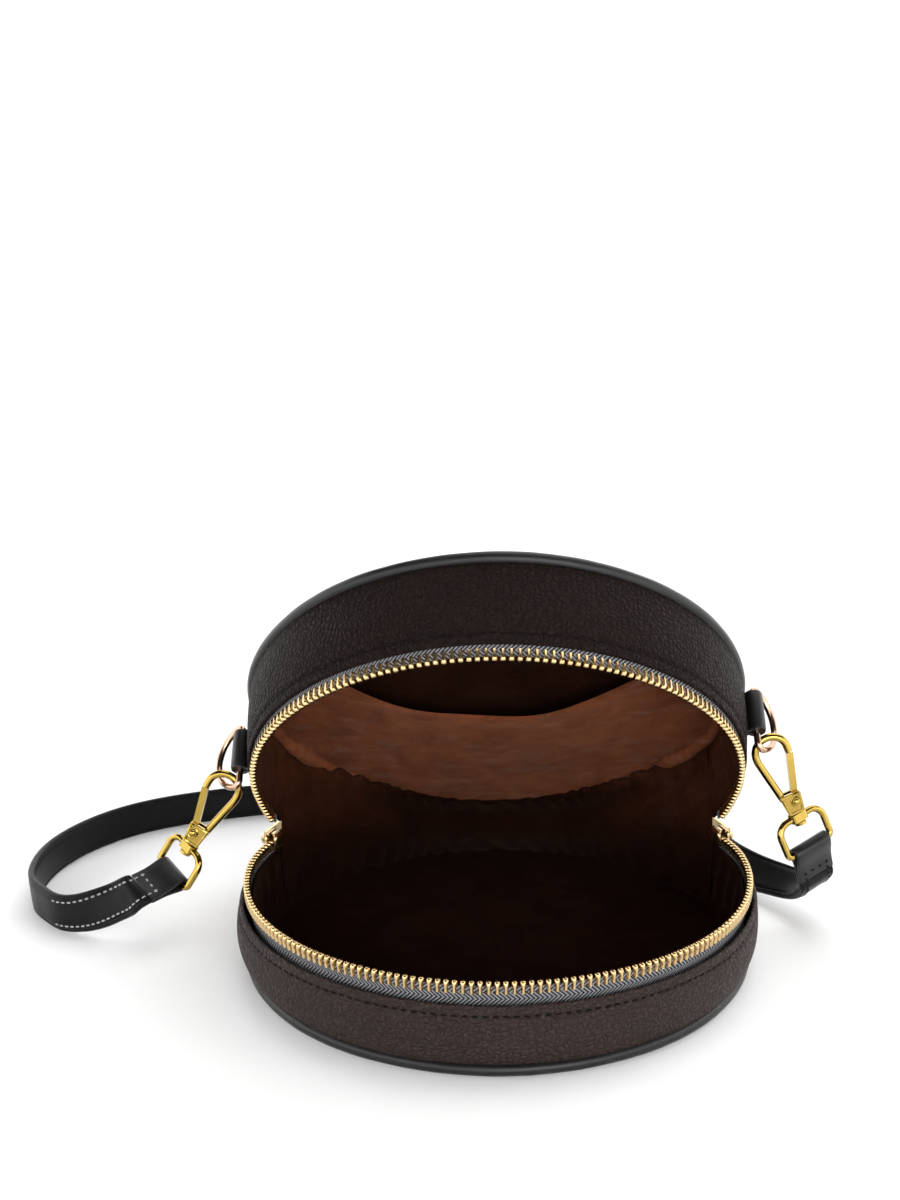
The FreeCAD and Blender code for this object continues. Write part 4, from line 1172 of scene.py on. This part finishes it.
def slip_pocket(sizes, upper):
    """Pocket sheet that hangs off the lid's lining, with its hem and the hem's stitches."""
    xs = POCKET_HALF * np.linspace(-1, 1, 120)
    grid, thick = [], []
    for x in xs:
        mouth = pocket_start(x, sizes)
        corner = ease((abs(x) - POCKET_CORNER) / POCKET_CORNER_WIDTH)
        low_r = POCKET_BOTTOM_R + (POCKET_R - POCKET_BOTTOM_R) * corner
        bottom = math.sqrt(max(low_r ** 2 - x ** 2, (mouth + POCKET_LEAST) ** 2))
        shares = np.concatenate([[0, 0.004], np.linspace(0.012, 1, 58)])
        y = mouth + (bottom - mouth) * shares
        grid.append(np.stack([np.full_like(y, x), y, pocket_depth(x, y, sizes)], -1))
        hem = 1 - ease((y - mouth - HEM_WIDTH) / HEM_STEP)
        thick.append(CLOTH + HEM_EXTRA * hem)
    sections = upper.place(sheet_sections(grid, np.array(thick)))
    piece = skin("suede_slip_pocket", sections, finishes["pocket"])
    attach(piece, "upper_half")
    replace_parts(piece, "slip_pocket")
    needle = pattern_piece("hem_stitch", capsule(length=2.3 * MM, width=0.5 * MM, height=0.4 * MM))
    line = []
    for x in xs[6:-6]:
        y = pocket_start(x, sizes) + HEM_LINE
        line.append((x, y, pocket_depth(x, y, sizes) + HEM_STITCH_STAND))
    row = row_along("pocket_hem_stitches", [upper.place(np.array(line))], [upper.aim(np.array([0, 0, 1.0]))],
                    needle, HEM_PITCH, finishes["pocket"])
    remove(needle)
    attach(row, "upper_half")


# Tabs, hooks and strap

TAB_R = 3.7 * MM
TAB_BORE = 1.4 * MM
TAB_LENGTH = 17.0 * MM
TAB_REACH = 2.55
TAB_WEB = 2.3 * MM
TAB_SEAM = 0.15 * MM
TAB_SINK = 0.25 * MM
EYE_BAR = 42.1 * MM
EYE_R = 1.4 * MM
EYE_TURN = {"left": math.radians(40), "right": math.radians(20)}
FOLD_SWING = {"left": math.radians(50), "right": math.radians(20)}
FOLD_LENGTH = 14.0 * MM
STRAP_REST = 0.3 * MM
STRAP_LEAD = 3.3 * MM
STRAP_RISE = {"left": 42.0 * MM, "right": 110.0 * MM}
STRAP_STATIONS = 460
STRAP_OVERLAP = 6
STRAP_CREASE = 0.28 * MM
CREASE_OUTER = 1.35 * MM
CREASE_MIDDLE = 1.75 * MM
CREASE_INNER = 2.2 * MM
STRAP_CROWN = 0.14 * MM
STRAP_CROWN_SIDE = 0.1 * MM
STRAP_PITCH = 2.7 * MM
THREAD_STAND = 0.2 * MM
EYE_PLAY = 0.15 * MM
BOX_START = 9.5 * MM
ROW_INSET = 2.9 * MM
ROW_LENGTH = {"left": 50.0 * MM, "right": 24.0 * MM}

# Places across a sewn fold, as shares of its half width, and how thick it is there
FOLD_EDGE = (
    (-1, 0.45), (-0.985, 0.8), (-0.955, 1), (-0.5, 1), (0, 1), (0.5, 1), (0.955, 1), (0.985, 0.8), (1, 0.45),
)

# Where the bend of each strap end starts on the floor and ends beside the lid
STRAP_BEND = {
    "left": ((-0.203, 0.056, 0), (-0.158, 0.009, 0)),
    "right": ((0.104, 0.076, 0), (0.1255, 0.027, 0)),
}

# Middle line of the strap on the floor, left end to right end, in millimetres (x, y, z above its rest)
STRAP_ROUTE = [
    (-153.0, 6.5, 9.0), (-163.0, 8.5, 4.2), (-173.0, 11.0, 1.0), (-181.5, 14.5, 0.0),
    (-190.0, 22.5, 0.0), (-198.0, 33.0, 0.0), (-203.5, 53.0, 0.0), (-202.5, 78.0, 0.0),
    (-192.0, 104.0, 0.0), (-174.0, 124.0, 0.0), (-148.0, 138.0, 0.0), (-112.0, 149.0, 0.0),
    (-60.0, 156.0, 0.0), (0.0, 156.0, 0.0), (50.0, 146.0, 0.0), (84.0, 122.0, 0.0),
    (99.0, 95.0, 0.0), (104.0, 72.0, 0.0), (108.5, 57.5, 0.3), (114.7, 45.0, 1.2),
    (122.5, 33.5, 2.6), (129.5, 21.0, 5.6),
]


def hook_axes(side, word):
    """Origin of a hook in its bow, the way to its gate and up its swivel."""
    swivel = joint_of[word + "_hook_swivel"]
    origin = np.array(swivel["pos_m"])
    up = np.array(swivel["axis"]) * -side
    arm = np.array(joint_of[word + "_gate_press"]["pos_m"]) - origin
    gate = arm - up * (arm @ up)
    return origin, unit(gate), up


def tab(word):
    """Leather loop round the ring's bar, its two ends sewn into the side wall."""
    ring = joint_of[word + "_ring_swing"]
    centre = np.array(ring["pos_m"])
    up = np.array(ring["axis"])
    flat = tip_back(HINGE + np.array([0, 0, 1.0])) - HINGE
    c, s = math.cos(OPEN_ANGLE), math.sin(OPEN_ANGLE)
    q = centre - HINGE
    closed = np.array([q[0], c * q[1] - s * q[2] + HINGE[1], 0])
    out = tip_back(HINGE + unit(closed)) - HINGE
    beside = np.cross(flat, out)
    turns = np.linspace(-TAB_REACH, TAB_REACH, 26)
    outer = [(TAB_R * math.cos(q), TAB_R * math.sin(q)) for q in turns]
    inner = [(TAB_BORE * math.cos(q), TAB_BORE * math.sin(q)) for q in turns[::-1]]
    web_x = -TAB_R - TAB_SINK
    loop = outer + [(web_x, TAB_WEB), (web_x, TAB_SEAM)] + inner + [(web_x, -TAB_SEAM), (web_x, -TAB_WEB)]
    sections = []
    for share in (-1, -0.97, -0.9, -0.5, 0, 0.5, 0.9, 0.97, 1):
        size = 1 - 0.07 * max(abs(share) - 0.9, 0) / 0.1
        swell = 1 + 0.03 * (1 - share ** 2)
        sections.append([centre + up * TAB_LENGTH / 2 * share + (out * x + beside * y) * size * swell
                         for x, y in loop])
    piece = skin(word + "_leather_tab", sections, finishes["cord"])
    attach(piece, "upper_half")
    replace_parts(piece, word + "_tab")


def rounded_strip(wide, thick, crease):
    """Closed outline of a strap: soft edges and a pressed line beside each edge."""
    half, face = wide / 2, thick / 2
    soft = face * 0.8
    edge = [(half - soft + soft * math.cos(q), face * math.sin(q)) for q in np.linspace(-1.4, 1.4, 7)]
    top = [(half - CREASE_OUTER, face), (half - CREASE_MIDDLE, face - crease), (half - CREASE_INNER, face),
           (half * 0.5, face + STRAP_CROWN_SIDE), (0, face + STRAP_CROWN)]
    right = edge + top
    left = [(-x, y) for x, y in right[::-1][1:]]
    upper_run = right + left
    lower_run = [(-x, -y) for x, y in top]
    lower_back = [(-x, y) for x, y in lower_run[::-1][1:]]
    return upper_run + lower_run + lower_back


def fold_axes(side, word):
    """Middle of the eye's bar, the way the strap leaves it and the way along the bar."""
    origin, gate, up = hook_axes(side, word)
    turn, swing = EYE_TURN[word], FOLD_SWING[word]
    bar_way = gate * math.cos(turn) - np.cross(gate, up) * side * math.sin(turn)
    leave = np.cross(up, bar_way) * math.sin(swing) - up * math.cos(swing)
    return origin - up * EYE_BAR, leave, bar_way


def strap_fold(side, word, sizes):
    """Strap end turned round the eye's bar: one layer that runs up, over the bar and down again."""
    bar, leave, bar_way = fold_axes(side, word)
    face = np.cross(leave, bar_way)
    layer = sizes.strap_thick / 2
    loop_r = EYE_R + EYE_PLAY + layer / 2
    turns = np.linspace(0, math.pi, 15)
    over = [(-loop_r * math.sin(q), loop_r * math.cos(q)) for q in turns]
    down = [(2.6 * MM, loop_r * 0.86), (5.2 * MM, loop_r * 0.56), (8.0 * MM, layer * 0.56),
            (11.0 * MM, layer / 2), (FOLD_LENGTH, layer / 2)]
    middle = np.array(down[::-1] + over + [(s, -y) for s, y in down])
    along = unit(np.gradient(middle, axis=0))
    across = np.stack([-along[:, 1], along[:, 0]], -1)
    sections = []
    for share, part in FOLD_EDGE:
        half = across * layer / 2 * part
        loop = np.concatenate([middle + half, (middle - half)[::-1]])
        spot = bar + bar_way * sizes.strap_width / 2 * share
        sections.append(spot + loop[:, :1] * leave + loop[:, 1:] * face)
    piece = skin(word + "_sewn_fold", sections, finishes["cord"])
    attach(piece, "upper_half")
    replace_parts(piece, word + "_strap_fold")


def strap_frame(sizes, count):
    """Middle line of the strap from bar to bar, its length, and its width and face directions."""
    lift = STRAP_REST + sizes.strap_width / 2
    route = [np.array(p) * MM + (0, 0, lift) for p in STRAP_ROUTE]
    bars = {word: fold_axes(side, word) for side, word in SIDES}
    leads = {word: [bar + leave * s for s in (0, FOLD_LENGTH / 2, FOLD_LENGTH, FOLD_LENGTH + STRAP_LEAD)]
             for word, (bar, leave, _) in bars.items()}
    line = spline(leads["left"] + route + leads["right"][::-1], count)
    along = unit(np.gradient(line, axis=0))
    run = run_along(line)
    on_left = (run < run[-1] / 2)[:, None]
    stand = np.where(on_left[:, 0], ease((run - FOLD_LENGTH) / STRAP_RISE["left"]),
                     ease((run[-1] - run - FOLD_LENGTH) / STRAP_RISE["right"]))[:, None]
    start = np.where(on_left, bars["left"][2], bars["right"][2])
    wide = start * (1 - stand) + np.array([0, 0, 1.0]) * stand
    wide = unit(wide - along * np.sum(wide * along, axis=1, keepdims=True))
    return line, run, wide, np.cross(along, wide)


def follow_lid(piece):
    """Bake the place of a piece of a strap end into its mesh; the piece is not bent towards the lid."""
    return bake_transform(piece)


def stations_in_bend(line, word):
    """How many stations from the start of a line lie within a strap end's bend."""
    start, end = np.array(STRAP_BEND[word])
    return int(np.argmax((line - start) @ (end - start) < 0))


def strap(sizes):
    """Shoulder strap in three runs; only the middle run goes with the lower half."""
    line, run, wide, face = strap_frame(sizes, STRAP_STATIONS)
    outline = np.array(rounded_strip(sizes.strap_width, sizes.strap_thick, STRAP_CREASE))
    sections = line[:, None] + wide[:, None] * outline[None, :, :1] + face[:, None] * outline[None, :, 1:]
    first = int(np.argmax(run > FOLD_LENGTH))
    last = int(np.argmax(run > run[-1] - FOLD_LENGTH))
    left_stop = stations_in_bend(line, "left") + STRAP_OVERLAP
    right_start = STRAP_STATIONS - stations_in_bend(line[::-1], "right") - STRAP_OVERLAP
    left = skin("strap_left_run", sections[first:left_stop], finishes["black"])
    back = skin("strap_back_run", sections[left_stop - 1:right_start + 1], finishes["black"])
    right = skin("strap_right_run", sections[right_start:last], finishes["black"])
    follow_lid(left)
    follow_lid(right)
    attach(back, "lower_half")
    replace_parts(back, "strap")


def strap_stitches(word, sizes, material):
    """Two rows along a strap end and one across it near the eye."""
    line, run, wide, face = strap_frame(sizes, STRAP_STATIONS)
    if word == "right":
        line, wide, face = line[::-1], wide[::-1], face[::-1]
        run = run[-1] - run[::-1]
    near = run < ROW_LENGTH[word] + BOX_START
    line, run, wide, face = line[near], run[near], wide[near], face[near]
    toward = np.sign(face[0] @ np.array([0, -1.0, 1.0]))
    lift = toward * (sizes.strap_thick / 2 + THREAD_STAND)
    reach = sizes.strap_width / 2 - ROW_INSET
    sewn = run > BOX_START
    rows = [line[sewn] + wide[sewn] * reach * edge + face[sewn] * lift for edge in (-1, 1)]
    ups = [face[sewn] * toward] * 2
    cross_at = int(np.argmax(sewn))
    steps = np.linspace(-reach, reach, 12)[:, None]
    rows.append(line[cross_at] + wide[cross_at] * steps + face[cross_at] * lift)
    ups.append(face[cross_at] * toward)
    needle = pattern_piece("strap_stitch", capsule(length=1.9 * MM, width=0.75 * MM, height=0.6 * MM))
    piece = row_along(word + "_strap_stitches", rows, ups, needle, STRAP_PITCH, material)
    remove(needle)
    follow_lid(piece)


# Metal and boards that the frame already holds

NODE_FINISH = {
    "pull": "zip", "d_ring": "rose", "hook_frame": "hook", "gate": "hook", "gate_rivet": "hook",
    "gate_spring": "steel", "swivel_post": "hook", "swivel_eye": "hook",
}


def dress(node, finish):
    """Give a node of the frame its finish."""
    mesh = frame["nodes"][node].data
    mesh.materials.clear()
    mesh.materials.append(finishes[finish])


# Raised trim on the hooks

BASE_TOP = -17.8 * MM
BASE_BOTTOM = -26.4 * MM
BASE_TOP_HALF = 4.3 * MM
BASE_LOW_HALF = 3.2 * MM
BASE_THICK = 5.4 * MM
TRIM_R = 0.5 * MM
TRIM_INSET = 0.65 * MM
RING_BEAD = 0.7
RIVET_X = 1.3 * MM
RIVET_Z = -21.6 * MM
RIVET_RING = 1.95 * MM
RIVET_DOME = 1.3 * MM
RIVET_STAND = 0.6 * MM


def bead(name, path, normal, size):
    """Half-sunk round bead along a closed path."""
    path = np.asarray(path)
    across = np.cross(unit(np.roll(path, -1, axis=0) - np.roll(path, 1, axis=0)), normal)
    sections = [[spot + side * size * math.cos(q) + normal * size * math.sin(q) for q in round_turns(8)]
                for spot, side in zip(path, across)]
    return skin(name, sections, finishes["hook"], ring=True)


def hook_trim(side, word):
    """Framed faces of a hook's base and a domed, ringed rivet on each."""
    origin, gate, up = hook_axes(side, word)
    normal = np.cross(gate, up)
    high, low = BASE_TOP - TRIM_INSET, BASE_BOTTOM + TRIM_INSET
    corners = [(-BASE_TOP_HALF + TRIM_INSET, high), (BASE_TOP_HALF - TRIM_INSET, high),
               (BASE_LOW_HALF - TRIM_INSET, low), (-BASE_LOW_HALF + TRIM_INSET, low)]
    frame_line = []
    for (x0, z0), (x1, z1) in zip(corners, corners[1:] + corners[:1]):
        frame_line += [(x0 + (x1 - x0) * t, z0 + (z1 - z0) * t) for t in (0.06, 0.5, 0.94)]
    circle = [(RIVET_X + RIVET_RING * math.cos(q), RIVET_Z + RIVET_RING * math.sin(q))
              for q in round_turns(24)]

    def put(flat, way, depth=0.0):
        return [origin + gate * x + up * z + way * (BASE_THICK / 2 + depth) for x, z in flat]

    parts = []
    for way in (normal, -normal):
        parts.append(bead("hook_frame_bead", put(frame_line, way), way, TRIM_R))
        parts.append(bead("hook_rivet_ring", put(circle, way), way, TRIM_R * RING_BEAD))
        rings = []
        for size in (0.66, 0.6, 0.5, 0.36, 0.18, 0.02):
            loop = [(RIVET_X + (x - RIVET_X) * size, RIVET_Z + (z - RIVET_Z) * size) for x, z in circle]
            rings.append(put(loop, way, RIVET_STAND + RIVET_DOME * 0.6 * math.sqrt(1 - size ** 2 * 2.2)))
        parts.append(skin("hook_rivet_dome", rings, finishes["hook"]))
    piece = join(word + "_hook_trim", parts, finishes["hook"])
    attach(piece, "hook_" + word)


# Stage

TARGET = Vector((0, 0, 0.040))
VIEW_ELEVATION = math.radians(22.71)
VIEW_AZIMUTH = math.radians(-0.54)
VIEW_ROLL = math.radians(-0.27)
VIEW_DISTANCE = 0.4752
FOCAL_PIXELS = 1205.76
PHOTO_SIZE = (900, 1200)
TARGET_PIXEL = (498.18, 851.69)
SENSOR = 36.0


def camera():
    """Camera at the photograph's viewing angle."""
    az, el = VIEW_AZIMUTH, VIEW_ELEVATION
    back = Vector((math.sin(az) * math.cos(el), -math.cos(az) * math.cos(el), math.sin(el)))
    right = Vector((math.cos(az), math.sin(az), 0))
    up = back.cross(right)
    c, s = math.cos(VIEW_ROLL), math.sin(VIEW_ROLL)
    side, top = right * c + up * s, up * c - right * s
    data = bpy.data.cameras.new("camera")
    long_side = max(PHOTO_SIZE)
    data.sensor_width = SENSOR
    data.lens = FOCAL_PIXELS * SENSOR / long_side
    data.shift_x = (PHOTO_SIZE[0] / 2 - TARGET_PIXEL[0]) / long_side
    data.shift_y = (TARGET_PIXEL[1] - PHOTO_SIZE[1] / 2) / long_side
    data.clip_start = 0.01
    obj = new_object("camera", data)
    turn = Matrix((side, top, back)).transposed()
    obj.matrix_world = Matrix.Translation(TARGET + back * VIEW_DISTANCE) @ turn.to_4x4()
    bpy.context.scene.camera = obj


FLOOR_MIDDLE = 0.02
FLOOR_NEAR = 0.4
FLOOR_R = 1.5
SWEEP_R = 0.9
RIM_TOP = 1.7
GLOW_START = 0.9
GLOW = 0.95
WORLD_GLOW = 0.05


def floor():
    """Plain pale floor that bends up into a bright rim all round."""
    bend = np.linspace(0, math.pi / 2, 17)
    profile = [(FLOOR_MIDDLE, 0.0), (FLOOR_NEAR, 0.0)]
    profile += [(FLOOR_R + SWEEP_R * math.sin(q), SWEEP_R * (1 - math.cos(q))) for q in bend]
    profile.append((FLOOR_R + SWEEP_R, RIM_TOP))
    r, z = np.array(profile).T
    turns = round_turns(96, -math.pi)
    verts = np.concatenate([polar(r, turn, z) for turn in turns])
    rings, count = len(turns), len(profile)
    faces = [(i * count + k, (i + 1) % rings * count + k, (i + 1) % rings * count + k + 1, i * count + k + 1)
             for i in range(rings) for k in range(count - 1)]
    faces.append([i * count for i in range(rings)])
    mesh = bpy.data.meshes.new("floor")
    mesh.from_pydata(verts.tolist(), [], faces)
    mesh.shade_smooth()
    f = Finish("pale_floor")
    far = f.add("ShaderNodeVectorMath", {"operation": "LENGTH"}, Vector=f.place.outputs["Object"])
    f.shade(Base_Color=(0.95, 0.95, 0.95, 1), Roughness=0.85, Specular_IOR_Level=0.1,
            Emission_Color=(1, 1, 1, 1),
            Emission_Strength=f.spread(far.outputs["Value"], GLOW_START, FLOOR_R, 0.0, GLOW))
    mesh.materials.append(f.material)
    new_object("floor", mesh)


def lamp(name, place, aim, size, watts):
    """Flat lamp that faces a point."""
    data = bpy.data.lights.new(name, "AREA")
    data.shape = "RECTANGLE"
    data.size, data.size_y = size
    data.energy = watts
    obj = new_object(name, data)
    obj.location = place
    obj.rotation_euler = (Vector(aim) - Vector(place)).to_track_quat("-Z", "Y").to_euler()


def sky(name, elevation, azimuth, spread, strength):
    """Wide even light from far away. Azimuth 0 is the front, and grows towards +X."""
    data = bpy.data.lights.new(name, "SUN")
    data.angle = math.radians(spread)
    data.energy = strength
    obj = new_object(name, data)
    el, az = math.radians(elevation), math.radians(azimuth)
    place = Vector((math.sin(az) * math.cos(el), -math.cos(az) * math.cos(el), math.sin(el)))
    obj.location = place * 2
    obj.rotation_euler = (-place).to_track_quat("-Z", "Y").to_euler()


def lights():
    sky("overhead", elevation=62, azimuth=150, spread=55, strength=1.7)
    lamp("front", place=(0.3, -1.1, 0.3), aim=(0, 0, 0.05), size=(0.5, 0.35), watts=4.6)
    lamp("left_strip", place=(-0.8, -0.5, 0.5), aim=(0, 0, 0.06), size=(0.12, 0.8), watts=0.4)
    lamp("right_strip", place=(0.85, -0.35, 0.45), aim=(0, 0, 0.06), size=(0.1, 0.7), watts=0.8)
    world = bpy.data.worlds.new("studio")
    world.use_nodes = True
    background = world.node_tree.nodes["Background"]
    background.inputs["Color"].default_value = (1, 1, 1, 1)
    background.inputs["Strength"].default_value = WORLD_GLOW
    bpy.context.scene.world = world
    bpy.context.scene.view_settings.view_transform = "Standard"


# Operators

class CIRCLEBAG_OT_finishes(bpy.types.Operator):
    """Make the materials"""
    bl_idname = "circle_bag.finishes"
    bl_label = "Finishes"

    def execute(self, context):
        make_finishes(context.scene.circle_bag_colours)
        return {"FINISHED"}


class CIRCLEBAG_OT_shell(bpy.types.Operator):
    """Make the leather panels, piping and side walls with their stitches"""
    bl_idname = "circle_bag.shell"
    bl_label = "Shell"

    def execute(self, context):
        sizes = context.scene.circle_bag_sizes
        for half in halves(sizes):
            panel(half, sizes)
            piping(half)
            gusset(half, sizes)
            gusset_stitches(half, sizes)
        rear_fold(sizes)
        return {"FINISHED"}


class CIRCLEBAG_OT_zip(bpy.types.Operator):
    """Make the woven tapes, the teeth and the sliders"""
    bl_idname = "circle_bag.zip"
    bl_label = "Zip"

    def execute(self, context):
        sizes = context.scene.circle_bag_sizes
        for half in halves(sizes):
            zip_tape(half)
            zip_teeth(half, sizes)
        for side, word in SIDES:
            slider(side, word)
        return {"FINISHED"}


class CIRCLEBAG_OT_lining(bpy.types.Operator):
    """Make the suede lining and the slip pocket"""
    bl_idname = "circle_bag.lining"
    bl_label = "Lining"

    def execute(self, context):
        sizes = context.scene.circle_bag_sizes
        lower, upper = halves(sizes)
        for half in (lower, upper):
            lining_floor(half)
            lining_wall(half)
        rear_lining(sizes)
        lid_roll(upper)
        slip_pocket(sizes, upper)
        return {"FINISHED"}


class CIRCLEBAG_OT_strap(bpy.types.Operator):
    """Make the tabs, the sewn strap ends and the shoulder strap"""
    bl_idname = "circle_bag.strap"
    bl_label = "Strap"

    def execute(self, context):
        sizes = context.scene.circle_bag_sizes
        for side, word in SIDES:
            tab(word)
            strap_fold(side, word, sizes)
        strap(sizes)
        strap_stitches("left", sizes, finishes["pale"])
        strap_stitches("right", sizes, finishes["dark"])
        return {"FINISHED"}


class CIRCLEBAG_OT_metal(bpy.types.Operator):
    """Give the rings, hooks, pulls, stops and boards their finishes, and trim the hooks"""
    bl_idname = "circle_bag.metal"
    bl_label = "Metal"

    def execute(self, context):
        for side, word in SIDES:
            for piece, finish in NODE_FINISH.items():
                dress(word + "_" + piece, finish)
            hook_trim(side, word)
        dress("zip_end_stops", "zip")
        for name in ("lower", "upper"):
            dress(name + "_board", "board")
        return {"FINISHED"}


class CIRCLEBAG_OT_stage(bpy.types.Operator):
    """Make the floor, the lights and the camera"""
    bl_idname = "circle_bag.stage"
    bl_label = "Stage"

    def execute(self, context):
        floor()
        lights()
        camera()
        return {"FINISHED"}


class CIRCLEBAG_PT_panel(bpy.types.Panel):
    """Pieces, sizes and colours of the circle bag"""
    bl_label = "Circle Bag"
    bl_idname = "CIRCLEBAG_PT_panel"
    bl_space_type = "VIEW_3D"
    bl_region_type = "UI"
    bl_category = "Circle Bag"

    def draw(self, context):
        for operator in OPERATORS:
            self.layout.operator(operator.bl_idname)
        for group in (context.scene.circle_bag_sizes, context.scene.circle_bag_colours):
            box = self.layout.box()
            for key in group.__annotations__:
                box.prop(group, key)


OPERATORS = (CIRCLEBAG_OT_finishes, CIRCLEBAG_OT_shell, CIRCLEBAG_OT_zip, CIRCLEBAG_OT_lining,
             CIRCLEBAG_OT_strap, CIRCLEBAG_OT_metal, CIRCLEBAG_OT_stage)
CLASSES = (CircleBagSizes, CircleBagColours) + OPERATORS + (CIRCLEBAG_PT_panel,)


def register():
    for cls in CLASSES:
        bpy.utils.register_class(cls)
    bpy.types.Scene.circle_bag_sizes = bpy.props.PointerProperty(type=CircleBagSizes)
    bpy.types.Scene.circle_bag_colours = bpy.props.PointerProperty(type=CircleBagColours)


def unregister():
    del bpy.types.Scene.circle_bag_colours
    del bpy.types.Scene.circle_bag_sizes
    for cls in reversed(CLASSES):
        bpy.utils.unregister_class(cls)


def main():
    register()
    bpy.ops.circle_bag.finishes()
    bpy.ops.circle_bag.shell()
    bpy.ops.circle_bag.zip()
    bpy.ops.circle_bag.lining()
    bpy.ops.circle_bag.strap()
    bpy.ops.circle_bag.metal()
    bpy.ops.circle_bag.stage()


if __name__ == "__main__":
    main()
